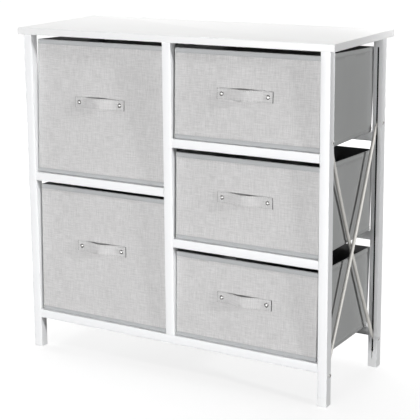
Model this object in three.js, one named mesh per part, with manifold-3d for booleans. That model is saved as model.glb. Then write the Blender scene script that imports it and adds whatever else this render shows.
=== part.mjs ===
// Fabric drawer dresser. A white steel frame carries a board on top, two tall fabric drawers
// in the left column and three short ones in the right column. Two crossing rods brace each end.
// Millimetres, +Z up. The front faces -Y and the origin is on the floor under the middle.

import * as THREE from 'three';
import { mergeVertices } from 'three/addons/utils/BufferGeometryUtils.js';
import Module from 'manifold-3d';

const wasm = await Module();
wasm.setup();

// Driving dimensions of the frame and the board
const frameWidth = 776;
const frameDepth = 293;
const overallHeight = 775;
const boardThickness = 16;
const sideOverhang = 12;
const frontOverhang = 8;
const rearOverhang = 11;
const boardEdgeRound = 1.5;

// Posts are square channels with an open seam that faces the other post of their end
const postSize = 22;
const postWall = 1.5;
const seamWidth = 3.6;
const closedTopLength = 21;
const footHeight = 21;
const footSpigotLength = 16;
const footSpigotGap = 0.3;

// Rails are square tubes between the posts
const railHeight = 20;
const railDepth = 22;
const railWall = 1.2;
const bottomRailTop = 95;

// The bays of a column are equally high, but for what the one under the board has extra
const shortTopExtra = 4.5;
const tallTopExtra = 5;

// Brace rods, their flattened ends and their bolts
const rodDiameter = 8;
const rodTopDrop = 9;
const rodLowRise = 15;
const rodEndGap = 6;
const innerRodBow = 5.5;
const outerRodBow = 2.9;
const tabThickness = 2.6;
const tabWidth = 9;
const boltTopDrop = 189;
const boltLowHeight = 68;
const boltInset = 7;
const boltDiameter = 5;
const boltHoleGap = 0.3;
const boltHeadDiameter = 9.5;
const boltHeadHeight = 1.8;
const boltHeadRound = 0.7;
const boltHeadGap = 0.3;
const boltEndSetback = 0.3;
const boltSocketWidth = 3.6;
const boltSocketDepth = 1.1;

// Fabric drawers
const drawerHeadGap = 9.5;
const rearDrop = 10.5;
const drawerRearInset = 18;
const drawerSideGap = 3.5;
const drawerSeatGap = 0.3;
const frontInset = 5.5;
const upperLeftPushIn = 2.5;
const bottomRightShift = 2.5;
const drawerWall = 3;
const frontWall = 5;
const floorThickness = 2;
const baseBoardThickness = 3;
const baseBoardSideGap = 2;
const baseBoardSeatGap = 0.3;
const drawerSlope = THREE.MathUtils.degToRad(2);
const steepSlope = THREE.MathUtils.degToRad(2.5);
const mildSlope = THREE.MathUtils.degToRad(1.8);
const gentleSlope = THREE.MathUtils.degToRad(1.6);

// Handle straps and their rivets
const strapLength = 134;
const strapHeight = 25;
const strapThickness = 1.6;
const strapBow = 11;
const strapSeatGap = 0.3;
const strapFlatLength = 23;
const rivetEndInset = 11.75;
const shortStrapRise = 8.5;
const tallStrapRise = 18.5;
const rivetHeadDiameter = 11.5;
const rivetRimHeight = 1.3;
const rivetRimWidth = 2.4;
const rivetRimRound = 0.5;
const rivetDishDepth = 0.6;
const rivetDomeHeight = 1.5;
const rivetShankDiameter = 4;
const rivetHoleGap = 0.3;
const rivetBackDiameter = 8;
const rivetBackHeight = 1;
const rivetGripGap = 0.3;

// Cutting tools run past the faces they cut by this much
const overrun = 2;

// Counts of drawers
const shortDrawerCount = 3;
const tallDrawerCount = 2;

// Counts of facets
const roundSides = 16;
const rodHalfSides = 6;
const rodSteps = 20;
const bowSteps = 20;
const socketSides = 6;

// Worked out from the sizes above
const boardWidth = frameWidth + 2 * sideOverhang;
const boardDepth = frontOverhang + frameDepth + rearOverhang;
const boardUnderside = overallHeight - boardThickness;
const frontY = -boardDepth / 2 + frontOverhang;
const rearY = frontY + frameDepth;
const frontSeamY = frontY + postSize;
const rearSeamY = rearY - postSize;
const outerX = frameWidth / 2;
const innerX = outerX - postSize;
const middleX = postSize / 2;
const postMidX = outerX - postSize / 2;
const columnWidth = innerX - middleX;
const columnMiddle = (innerX + middleX) / 2;
const drawerWidth = columnWidth - 2 * drawerSideGap;
const drawerDepth = frameDepth - frontInset - drawerRearInset;
const pitchSum = boardUnderside - bottomRailTop + railHeight;
const shortPitch = (pitchSum - shortTopExtra) / shortDrawerCount;
const tallPitch = (pitchSum - tallTopExtra) / tallDrawerCount;
const shortHeight = shortPitch - railHeight - drawerHeadGap;
const tallHeight = tallPitch - railHeight - drawerHeadGap;
const shortStrapHeight = shortHeight / 2 + shortStrapRise;
const tallStrapHeight = tallHeight / 2 + tallStrapRise;
const bowLength = strapLength - 2 * strapFlatLength;
const rivetSpacing = strapLength - 2 * rivetEndInset;
const boltTopHeight = boardUnderside - boltTopDrop;
const rodTopHeight = boltTopHeight - rodTopDrop;
const rodLowHeight = boltLowHeight + rodLowRise;
const shelfHeights = {
  bottom: bottomRailTop,
  rightLower: bottomRailTop + shortPitch,
  rightUpper: bottomRailTop + 2 * shortPitch,
  leftMiddle: bottomRailTop + tallPitch,
};

// Materials
const whiteSteel = new THREE.MeshStandardMaterial({ color: 0xf2f2f2, roughness: 0.42, metalness: 0.0 });
const whiteBoard = new THREE.MeshStandardMaterial({ color: 0xf6f6f5, roughness: 0.38, metalness: 0.0 });
const whitePlastic = new THREE.MeshStandardMaterial({ color: 0xeeeeee, roughness: 0.5, metalness: 0.0 });
const brightSteel = new THREE.MeshStandardMaterial({ color: 0xc9cac9, roughness: 0.2, metalness: 1.0 });
const linenFabric = new THREE.MeshStandardMaterial({ color: 0xc9c8c8, roughness: 0.95, metalness: 0.0 });
const blackBoard = new THREE.MeshStandardMaterial({ color: 0x161616, roughness: 0.9, metalness: 0.0 });

const dresser = new THREE.Group();
dresser.name = 'fabric_drawer_dresser';

// A closed solid from a geometry whose faces share their vertices
function toSolid(geometry) {
  const bare = new THREE.BufferGeometry();
  bare.setAttribute('position', geometry.getAttribute('position').clone());
  if (geometry.index) {
    bare.setIndex(geometry.index.clone());
  }
  const merged = mergeVertices(bare);
  const mesh = new wasm.Mesh({
    numProp: 3,
    vertProperties: new Float32Array(merged.getAttribute('position').array),
    triVerts: new Uint32Array(merged.index.array),
  });
  return new wasm.Manifold(mesh);
}

// The geometry of a solid, with flat shading
function toGeometry(solid) {
  const mesh = solid.getMesh();
  const geometry = new THREE.BufferGeometry();
  geometry.setAttribute('position', new THREE.BufferAttribute(new Float32Array(mesh.vertProperties), 3));
  geometry.setIndex(new THREE.BufferAttribute(new Uint32Array(mesh.triVerts), 1));
  geometry.computeVertexNormals();
  return geometry;
}

function cut(geometry, cutters) {
  let solid = toSolid(geometry);
  for (const cutter of cutters) {
    solid = solid.subtract(toSolid(cutter));
  }
  return toGeometry(solid);
}

function join(geometries) {
  let solid = toSolid(geometries[0]);
  for (const geometry of geometries.slice(1)) {
    solid = solid.add(toSolid(geometry));
  }
  return toGeometry(solid);
}

function addPiece(parent, name, geometry, material) {
  const mesh = new THREE.Mesh(geometry, material);
  mesh.name = name;
  parent.add(mesh);
  return mesh;
}

// A box between two corners
function boxBetween(low, high) {
  const size = high.map((value, axis) => value - low[axis]);
  const middle = high.map((value, axis) => (value + low[axis]) / 2);
  return new THREE.BoxGeometry(...size).translate(...middle);
}

// A shape drawn in Y and Z, drawn out along X from one place to another
function alongX(shape, startX, endX, steps = 1) {
  const geometry = new THREE.ExtrudeGeometry(shape, {
    depth: endX - startX,
    bevelEnabled: false,
    curveSegments: steps,
  });
  const turn = new THREE.Matrix4().makeBasis(
    new THREE.Vector3(0, 1, 0),
    new THREE.Vector3(0, 0, 1),
    new THREE.Vector3(1, 0, 0),
  );
  geometry.applyMatrix4(turn);
  return geometry.translate(startX, 0, 0);
}

// A round bar along X
function barAlongX(diameter, startX, endX, y, z, sides = roundSides) {
  const bar = new THREE.CylinderGeometry(diameter / 2, diameter / 2, endX - startX, sides);
  bar.rotateZ(Math.PI / 2);
  return bar.translate((startX + endX) / 2, y, z);
}

// Top board with its long edges eased
function addTopBoard() {
  const halfDepth = boardDepth / 2;
  const low = boardUnderside;
  const high = overallHeight;
  const shape = new THREE.Shape();
  shape.moveTo(-halfDepth, low + boardEdgeRound);
  shape.lineTo(-halfDepth + boardEdgeRound, low);
  shape.lineTo(halfDepth - boardEdgeRound, low);
  shape.lineTo(halfDepth, low + boardEdgeRound);
  shape.lineTo(halfDepth, high - boardEdgeRound);
  shape.lineTo(halfDepth - boardEdgeRound, high);
  shape.lineTo(-halfDepth + boardEdgeRound, high);
  shape.lineTo(-halfDepth, high - boardEdgeRound);
  shape.closePath();
  addPiece(dresser, 'top_board', alongX(shape, -boardWidth / 2, boardWidth / 2), whiteBoard);
}

// Corner posts: a seam, two bolt holes and a closed top that meets the board
function addCornerPost(name, side, front) {
  const nearX = side > 0 ? innerX : -outerX;
  const farX = nearX + postSize;
  const nearY = front ? frontY : rearSeamY;
  const farY = nearY + postSize;
  const middle = side * postMidX;
  const body = boxBetween([nearX, nearY, footHeight], [farX, farY, boardUnderside]);
  const bore = boxBetween(
    [nearX + postWall, nearY + postWall, footHeight - overrun],
    [farX - postWall, farY - postWall, boardUnderside - postWall],
  );
  const seamNearY = front ? farY - postWall - overrun : nearY - overrun;
  const seam = boxBetween(
    [middle - seamWidth / 2, seamNearY, footHeight - overrun],
    [middle + seamWidth / 2, seamNearY + postWall + 2 * overrun, boardUnderside - closedTopLength],
  );
  const boltY = front ? frontSeamY - boltInset : rearSeamY + boltInset;
  const holes = [boltTopHeight, boltLowHeight].map((height) => barAlongX(
    boltDiameter + 2 * boltHoleGap,
    nearX - overrun,
    farX + overrun,
    boltY,
    height,
  ));
  addPiece(dresser, name, cut(body, [bore, seam, ...holes]), whiteSteel);
}

// Middle posts stand on the bottom rail and carry the middle of the board
function addMiddlePost(name, front) {
  const nearY = front ? frontY : rearSeamY;
  const body = boxBetween([-middleX, nearY, bottomRailTop], [middleX, nearY + postSize, boardUnderside]);
  const bore = boxBetween(
    [-middleX + postWall, nearY + postWall, bottomRailTop - overrun],
    [middleX - postWall, nearY + postSize - postWall, boardUnderside - postWall],
  );
  addPiece(dresser, name, cut(body, [bore]), whiteSteel);
}

// Plastic feet with a spigot that stands in the post
function addFoot(name, side, front) {
  const nearX = side > 0 ? innerX : -outerX;
  const nearY = front ? frontY : rearSeamY;
  const inset = postWall + footSpigotGap;
  const block = boxBetween([nearX, nearY, 0], [nearX + postSize, nearY + postSize, footHeight]);
  const spigot = boxBetween(
    [nearX + inset, nearY + inset, footHeight - overrun],
    [nearX + postSize - inset, nearY + postSize - inset, footHeight + footSpigotLength],
  );
  addPiece(dresser, name, join([block, spigot]), whitePlastic);
}

// Rails are open-ended tubes, and their ends meet the posts
function addRail(name, startX, endX, front, topHeight) {
  const nearY = front ? frontY : rearY - railDepth;
  const body = boxBetween([startX, nearY, topHeight - railHeight], [endX, nearY + railDepth, topHeight]);
  const bore = boxBetween(
    [startX - overrun, nearY + railWall, topHeight - railHeight + railWall],
    [endX + overrun, nearY + railDepth - railWall, topHeight - railWall],
  );
  addPiece(dresser, name, cut(body, [bore]), whiteSteel);
}

// The flattened end of a rod, a strip with round ends from the rod to its bolt
function rodTab(x, rodEnd, bolt) {
  const direction = new THREE.Vector2().subVectors(bolt, rodEnd);
  const angle = direction.angle();
  const shape = new THREE.Shape();
  shape.absarc(bolt.x, bolt.y, tabWidth / 2, angle - Math.PI / 2, angle + Math.PI / 2, false);
  shape.absarc(rodEnd.x, rodEnd.y, tabWidth / 2, angle + Math.PI / 2, angle + 1.5 * Math.PI, false);
  shape.closePath();
  const strip = alongX(shape, x - tabThickness / 2, x + tabThickness / 2, rodHalfSides);
  const hole = barAlongX(
    boltDiameter + 2 * boltHoleGap,
    x - tabThickness / 2 - overrun,
    x + tabThickness / 2 + overrun,
    bolt.x,
    bolt.y,
  );
  return cut(strip, [hole]);
}

// A brace rod. Both rods of an end lie in the posts' middle plane and bow around each other.
function addBraceRod(name, side, topAtFront, bow) {
  const middle = side * postMidX;
  const frontRodY = frontSeamY + rodEndGap;
  const rearRodY = rearSeamY - rodEndGap;
  const topY = topAtFront ? frontRodY : rearRodY;
  const lowY = topAtFront ? rearRodY : frontRodY;
  const boltTopY = topAtFront ? frontSeamY - boltInset : rearSeamY + boltInset;
  const boltLowY = topAtFront ? rearSeamY + boltInset : frontSeamY - boltInset;
  const points = [];
  for (let step = 0; step <= rodSteps; step += 1) {
    const share = step / rodSteps;
    points.push(new THREE.Vector3(
      middle + side * bow * Math.sin(Math.PI * share),
      THREE.MathUtils.lerp(topY, lowY, share),
      THREE.MathUtils.lerp(rodTopHeight, rodLowHeight, share),
    ));
  }
  const section = new THREE.Shape();
  section.absarc(0, 0, rodDiameter / 2, 0, 2 * Math.PI, false);
  const rod = new THREE.ExtrudeGeometry(section, {
    steps: rodSteps,
    curveSegments: rodHalfSides,
    extrudePath: new THREE.CatmullRomCurve3(points),
  });
  const topTab = rodTab(
    middle,
    new THREE.Vector2(topY, rodTopHeight),
    new THREE.Vector2(boltTopY, boltTopHeight),
  );
  const lowTab = rodTab(
    middle,
    new THREE.Vector2(lowY, rodLowHeight),
    new THREE.Vector2(boltLowY, boltLowHeight),
  );
  addPiece(dresser, name, join([rod, topTab, lowTab]), brightSteel);
}

// A bolt from the outside of a post, through the rod's end and into the inner wall
function addBraceBolt(name, side, front, height) {
  const headStart = boltHeadGap;
  const headEnd = boltHeadGap + boltHeadHeight;
  const shankEnd = -postSize + boltEndSetback;
  const profile = [
    new THREE.Vector2(0, shankEnd),
    new THREE.Vector2(boltDiameter / 2, shankEnd),
    new THREE.Vector2(boltDiameter / 2, headStart),
    new THREE.Vector2(boltHeadDiameter / 2, headStart),
    new THREE.Vector2(boltHeadDiameter / 2, headEnd - boltHeadRound),
    new THREE.Vector2(boltHeadDiameter / 2 - boltHeadRound, headEnd),
    new THREE.Vector2(0, headEnd),
  ];
  const body = new THREE.LatheGeometry(profile, roundSides);
  const socketRadius = boltSocketWidth / Math.sqrt(3);
  const socket = new THREE.CylinderGeometry(socketRadius, socketRadius, boltSocketDepth + overrun, socketSides);
  socket.translate(0, headEnd - boltSocketDepth + (boltSocketDepth + overrun) / 2, 0);
  const geometry = cut(body, [socket]);
  geometry.rotateZ(-Math.PI / 2);
  if (side < 0) {
    geometry.rotateZ(Math.PI);
  }
  const bolt = addPiece(dresser, name, geometry, brightSteel);
  bolt.position.set(side * outerX, front ? frontSeamY - boltInset : rearSeamY + boltInset, height);
}

// The side outline of a drawer, drawn in Y and Z from its front lower corner
function drawerOutline(drawer, inset, floor, rise) {
  const lean = Math.tan(drawer.slope);
  const frontAt = (height) => (inset > 0 ? frontWall : 0) + height * lean;
  const topFront = drawer.height + rise;
  const topRear = drawer.height - rearDrop + rise;
  const shape = new THREE.Shape();
  shape.moveTo(frontAt(floor), floor);
  shape.lineTo(drawerDepth - inset, floor);
  shape.lineTo(drawerDepth - inset, topRear);
  shape.lineTo(frontAt(topFront), topFront);
  shape.closePath();
  return shape;
}

// A strap bowed away from the drawer, as a band drawn in X and Y
function strapBand() {
  const halfLength = strapLength / 2;
  const halfBow = bowLength / 2;
  const inner = [[-halfLength, 0]];
  for (let step = 0; step <= bowSteps; step += 1) {
    const x = THREE.MathUtils.lerp(-halfBow, halfBow, step / bowSteps);
    inner.push([x, -strapBow * (1 + Math.cos((Math.PI * x) / halfBow)) / 2]);
  }
  inner.push([halfLength, 0]);
  const outer = inner.map(([x, y]) => [x, y - strapThickness]).reverse();
  const shape = new THREE.Shape([...inner, ...outer].map(([x, y]) => new THREE.Vector2(x, y)));
  return new THREE.ExtrudeGeometry(shape, { depth: strapHeight, bevelEnabled: false })
    .translate(0, -strapSeatGap, -strapHeight / 2);
}

// A rivet with a raised rim, a small dome in its dish, and a back head inside the drawer
function rivetBody() {
  const seat = -strapSeatGap - strapThickness - rivetGripGap;
  const backSeat = frontWall + rivetGripGap;
  const headRadius = rivetHeadDiameter / 2;
  const top = rivetRimHeight;
  const grip = backSeat - seat;
  const profile = [
    new THREE.Vector2(0, -grip - rivetBackHeight),
    new THREE.Vector2(rivetBackDiameter / 2, -grip - rivetBackHeight),
    new THREE.Vector2(rivetBackDiameter / 2, -grip),
    new THREE.Vector2(rivetShankDiameter / 2, -grip),
    new THREE.Vector2(rivetShankDiameter / 2, 0),
    new THREE.Vector2(headRadius, 0),
    new THREE.Vector2(headRadius, top - rivetRimRound),
    new THREE.Vector2(headRadius - rivetRimRound, top),
    new THREE.Vector2(headRadius - rivetRimWidth + rivetRimRound, top),
    new THREE.Vector2(headRadius - rivetRimWidth, top - rivetDishDepth),
    new THREE.Vector2(rivetShankDiameter / 2, top - rivetDishDepth / 2),
    new THREE.Vector2(rivetShankDiameter / 4, rivetDomeHeight - rivetRimRound / 2),
    new THREE.Vector2(0, rivetDomeHeight),
  ];
  return new THREE.LatheGeometry(profile, roundSides).rotateX(Math.PI).translate(0, seat, 0);
}

// One drawer: fabric shell, base board, strap and two rivets
function addDrawer(drawer) {
  const halfWidth = drawerWidth / 2;
  const group = new THREE.Group();
  group.position.set(
    drawer.middle + drawer.shift,
    frontY + frontInset + drawer.pushIn,
    drawer.shelf + drawerSeatGap,
  );
  dresser.add(group);

  const face = new THREE.Matrix4().makeRotationX(-drawer.slope);
  const raise = new THREE.Matrix4().makeTranslation(0, 0, drawer.strapHeight);
  const onFace = new THREE.Matrix4().multiplyMatrices(face, raise);
  const rivetPlaces = [-rivetSpacing / 2, rivetSpacing / 2];

  const outer = alongX(drawerOutline(drawer, 0, 0, 0), -halfWidth, halfWidth);
  const hollow = alongX(
    drawerOutline(drawer, drawerWall, floorThickness, overrun),
    -halfWidth + drawerWall,
    halfWidth - drawerWall,
  );
  const rivetHole = rivetShankDiameter + 2 * rivetHoleGap;
  const holes = rivetPlaces.map((x) => {
    const hole = new THREE.CylinderGeometry(rivetHole / 2, rivetHole / 2, frontWall + 2 * overrun, roundSides);
    return hole.translate(x, frontWall / 2, 0).applyMatrix4(onFace);
  });
  addPiece(group, `${drawer.name}_shell`, cut(outer, [hollow, ...holes]), linenFabric);

  const boardGap = drawerWall + baseBoardSideGap;
  const lean = Math.tan(drawer.slope) * (floorThickness + baseBoardThickness);
  const baseBoard = boxBetween(
    [-halfWidth + boardGap, frontWall + lean + baseBoardSideGap, floorThickness + baseBoardSeatGap],
    [halfWidth - boardGap, drawerDepth - boardGap, floorThickness + baseBoardSeatGap + baseBoardThickness],
  );
  addPiece(group, `${drawer.name}_base_board`, baseBoard, blackBoard);

  const strapHoles = rivetPlaces.map((x) => {
    const hole = new THREE.CylinderGeometry(rivetHole / 2, rivetHole / 2, strapThickness + 2 * overrun, roundSides);
    return hole.translate(x, -strapSeatGap - strapThickness / 2, 0);
  });
  const strap = addPiece(group, `${drawer.name}_strap`, cut(strapBand(), strapHoles), linenFabric);
  strap.applyMatrix4(onFace);

  ['left', 'right'].forEach((end, index) => {
    const rivet = addPiece(group, `${drawer.name}_rivet_${end}`, rivetBody(), brightSteel);
    rivet.position.set(rivetPlaces[index], 0, 0);
    rivet.updateMatrix();
    rivet.applyMatrix4(onFace);
  });
}

const drawers = [
  {
    name: 'drawer_upper_left',
    middle: -columnMiddle,
    shelf: shelfHeights.leftMiddle,
    height: tallHeight,
    strapHeight: tallStrapHeight,
    pushIn: upperLeftPushIn,
    shift: 0,
    slope: steepSlope,
  },
  {
    name: 'drawer_lower_left',
    middle: -columnMiddle,
    shelf: shelfHeights.bottom,
    height: tallHeight,
    strapHeight: tallStrapHeight,
    pushIn: 0,
    shift: 0,
    slope: gentleSlope,
  },
  {
    name: 'drawer_top_right',
    middle: columnMiddle,
    shelf: shelfHeights.rightUpper,
    height: shortHeight,
    strapHeight: shortStrapHeight,
    pushIn: 0,
    shift: 0,
    slope: drawerSlope,
  },
  {
    name: 'drawer_middle_right',
    middle: columnMiddle,
    shelf: shelfHeights.rightLower,
    height: shortHeight,
    strapHeight: shortStrapHeight,
    pushIn: 0,
    shift: 0,
    slope: mildSlope,
  },
  {
    name: 'drawer_bottom_right',
    middle: columnMiddle,
    shelf: shelfHeights.bottom,
    height: shortHeight,
    strapHeight: shortStrapHeight,
    pushIn: 0,
    shift: -bottomRightShift,
    slope: drawerSlope,
  },
];

addTopBoard();
for (const front of [true, false]) {
  const place = front ? 'front' : 'rear';
  for (const side of [-1, 1]) {
    const hand = side < 0 ? 'left' : 'right';
    addCornerPost(`post_${place}_${hand}`, side, front);
    addFoot(`foot_${place}_${hand}`, side, front);
    addBraceBolt(`brace_bolt_${place}_${hand}_top`, side, front, boltTopHeight);
    addBraceBolt(`brace_bolt_${place}_${hand}_low`, side, front, boltLowHeight);
  }
  addMiddlePost(`post_${place}_middle`, front);
  addRail(`rail_${place}_bottom`, -innerX, innerX, front, shelfHeights.bottom);
  addRail(`rail_${place}_left_middle`, -innerX, -middleX, front, shelfHeights.leftMiddle);
  addRail(`rail_${place}_right_upper`, middleX, innerX, front, shelfHeights.rightUpper);
  addRail(`rail_${place}_right_lower`, middleX, innerX, front, shelfHeights.rightLower);
}
for (const side of [-1, 1]) {
  const hand = side < 0 ? 'left' : 'right';
  addBraceRod(`brace_rod_${hand}_inner`, side, true, -innerRodBow);
  addBraceRod(`brace_rod_${hand}_outer`, side, false, outerRodBow);
}
for (const drawer of drawers) {
  addDrawer(drawer);
}

export default dresser;
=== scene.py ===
"""A white steel dresser with a board top, five sewn fabric drawers and crossed brace rods."""

from __future__ import annotations

import logging
import math
from collections.abc import Callable, Iterable, Sequence
from dataclasses import dataclass, field
from enum import Enum
from functools import cache

import bmesh
import bpy
from mathutils import Matrix, Vector, noise


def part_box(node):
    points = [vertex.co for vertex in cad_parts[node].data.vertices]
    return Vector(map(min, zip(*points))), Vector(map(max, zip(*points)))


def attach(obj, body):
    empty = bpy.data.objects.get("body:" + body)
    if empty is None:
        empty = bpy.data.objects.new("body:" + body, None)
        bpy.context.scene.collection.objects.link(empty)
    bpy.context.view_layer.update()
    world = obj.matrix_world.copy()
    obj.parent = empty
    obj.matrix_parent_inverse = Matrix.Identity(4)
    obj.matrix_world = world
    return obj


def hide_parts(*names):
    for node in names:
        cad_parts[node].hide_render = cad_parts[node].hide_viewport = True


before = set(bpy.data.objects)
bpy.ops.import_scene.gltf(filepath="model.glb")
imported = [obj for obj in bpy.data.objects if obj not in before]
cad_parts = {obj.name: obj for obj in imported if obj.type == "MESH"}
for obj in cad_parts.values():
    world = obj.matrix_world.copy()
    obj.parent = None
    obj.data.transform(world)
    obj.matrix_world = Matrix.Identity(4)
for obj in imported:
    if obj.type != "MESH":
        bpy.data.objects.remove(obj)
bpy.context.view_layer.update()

logging.basicConfig(level=logging.INFO, format="%(name)s: %(message)s")
log = logging.getLogger("dresser")

MM = 0.001
BOLT_Y = (-133 * MM, 130 * MM)  # the brace bolts at the front and at the rear
BOLT_Z = (68 * MM, 570 * MM)  # the low and the top ones

Triple = tuple[float, float, float]
Colour = Triple  # linear red, green and blue
Plan = Sequence[tuple[float, float]]
Socket = bpy.types.NodeSocket
Spot = tuple[Vector, Vector]  # a point and the outward direction there


class Place(Enum):
    """Which face of the dresser a post or rail belongs to, as a sign along Y."""

    FRONT = -1
    REAR = 1


class Hand(Enum):
    """Which end of the dresser a piece belongs to, as a sign along X."""

    LEFT = -1
    RIGHT = 1


class Wall(Enum):
    """The walls of a drawer, in the order in which its outline runs round them."""

    FRONT = "front"
    RIGHT = "right"
    REAR = "rear"
    LEFT = "left"


class Coordinates(Enum):
    """Where a cloth takes the place of its threads from."""

    OBJECT = "Object"
    UV = "UV"


# ---------------------------------------------------------------- node helpers


@dataclass
class NodeDesk:
    """Places nodes in one tree and links them."""

    tree: bpy.types.NodeTree

    def add(self, kind: str, **values: object) -> bpy.types.Node:
        """Adds a node and sets its properties.

        Args:
            kind: The node's type name.
            values: Properties to set on it.

        Returns:
            The new node.
        """
        node = self.tree.nodes.new(kind)
        for key, value in values.items():
            setattr(node, key, value)
        node.location = (180 * len(self.tree.nodes), 0)
        return node

    def link(self, start: Socket, end: Socket) -> None:
        """Links one socket to another."""
        self.tree.links.new(start, end)

    def give(self, value: object, socket: Socket) -> None:
        """Gives a socket a plain value, or links another socket to it.

        Args:
            value: The value, or the socket that gives it.
            socket: The socket that takes it.
        """
        if isinstance(value, Socket):
            self.link(value, socket)
        else:
            socket.default_value = value

    def feed(self, node: bpy.types.Node, **values: object) -> bpy.types.Node:
        """Gives a node its inputs.

        Args:
            node: The node.
            values: Its inputs by name, with underscores for spaces, as plain values or sockets.

        Returns:
            The same node.
        """
        for key, value in values.items():
            self.give(value, node.inputs[key.replace("_", " ")])
        return node

    def maths(
        self,
        operation: str,
        first: Socket | float,
        second: Socket | float = 0.0,
        third: Socket | float = 0.0,
        clamp: bool = False,
    ) -> Socket:
        """Adds a Math node.

        Args:
            operation: The node's operation.
            first: First value, or a socket that gives it.
            second: Second value, or a socket that gives it.
            third: Third value, or a socket that gives it.
            clamp: Whether the result stays between 0 and 1.

        Returns:
            The node's output.
        """
        node = self.add("ShaderNodeMath", operation=operation, use_clamp=clamp)
        for socket, value in zip(node.inputs, (first, second, third)):
            self.give(value, socket)
        return node.outputs[0]

    def blend(self, factor: Socket, first: Colour, second: Colour) -> Socket:
        """Mixes two colours by a mask.

        Args:
            factor: The mask.
            first: Colour where the mask is 0.
            second: Colour where the mask is 1.

        Returns:
            The mixed colour.
        """
        node = self.feed(self.add("ShaderNodeMix", data_type="RGBA"), Factor=factor)
        colours = [socket for socket in node.inputs if socket.type == "RGBA"]
        colours[0].default_value = (*first, 1.0)
        colours[1].default_value = (*second, 1.0)
        return next(socket for socket in node.outputs if socket.type == "RGBA")

    def ramp(
        self, value: Socket, low: float, high: float, start: float = 0.0, stop: float = 1.0
    ) -> Socket:
        """Stretches a value from one range to another.

        Args:
            value: The value.
            low: Result at the start.
            high: Result at the stop.
            start: Value that becomes the low result.
            stop: Value that becomes the high result.

        Returns:
            The stretched value.
        """
        node = self.add("ShaderNodeMapRange")
        self.feed(node, Value=value, From_Min=start, From_Max=stop, To_Min=low, To_Max=high)
        return node.outputs["Result"]

    def speckle(
        self,
        vector: Socket,
        scale: Socket | float,
        detail: float,
        roughness: float = 0.5,
        dimensions: str = "3D",
    ) -> Socket:
        """Adds a Noise Texture node.

        Args:
            vector: Where it is looked up.
            scale: Its scale, or a socket that gives it.
            detail: Its detail.
            roughness: Its roughness.
            dimensions: Its dimensions.

        Returns:
            Its value.
        """
        node = self.add("ShaderNodeTexNoise", noise_dimensions=dimensions)
        self.feed(node, Vector=vector, Scale=scale, Detail=detail, Roughness=roughness)
        return node.outputs[0]

    def parts(self, vector: Socket) -> bpy.types.NodeOutputs:
        """Splits a vector and gives the outputs X, Y and Z."""
        return self.feed(self.add("ShaderNodeSeparateXYZ"), Vector=vector).outputs

    def vector(self, **values: object) -> Socket:
        """Joins X, Y and Z to a vector, 0 where one isn't given."""
        return self.feed(self.add("ShaderNodeCombineXYZ"), **values).outputs[0]


def tinted(colour: Colour, factor: float) -> Colour:
    """A colour made lighter or darker.

    Args:
        colour: Linear red, green and blue.
        factor: What each is multiplied by.

    Returns:
        The changed colour, none above 1.
    """
    return tuple(min(1.0, value * factor) for value in colour)


# ---------------------------------------------------------------- shared surface effects


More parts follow.
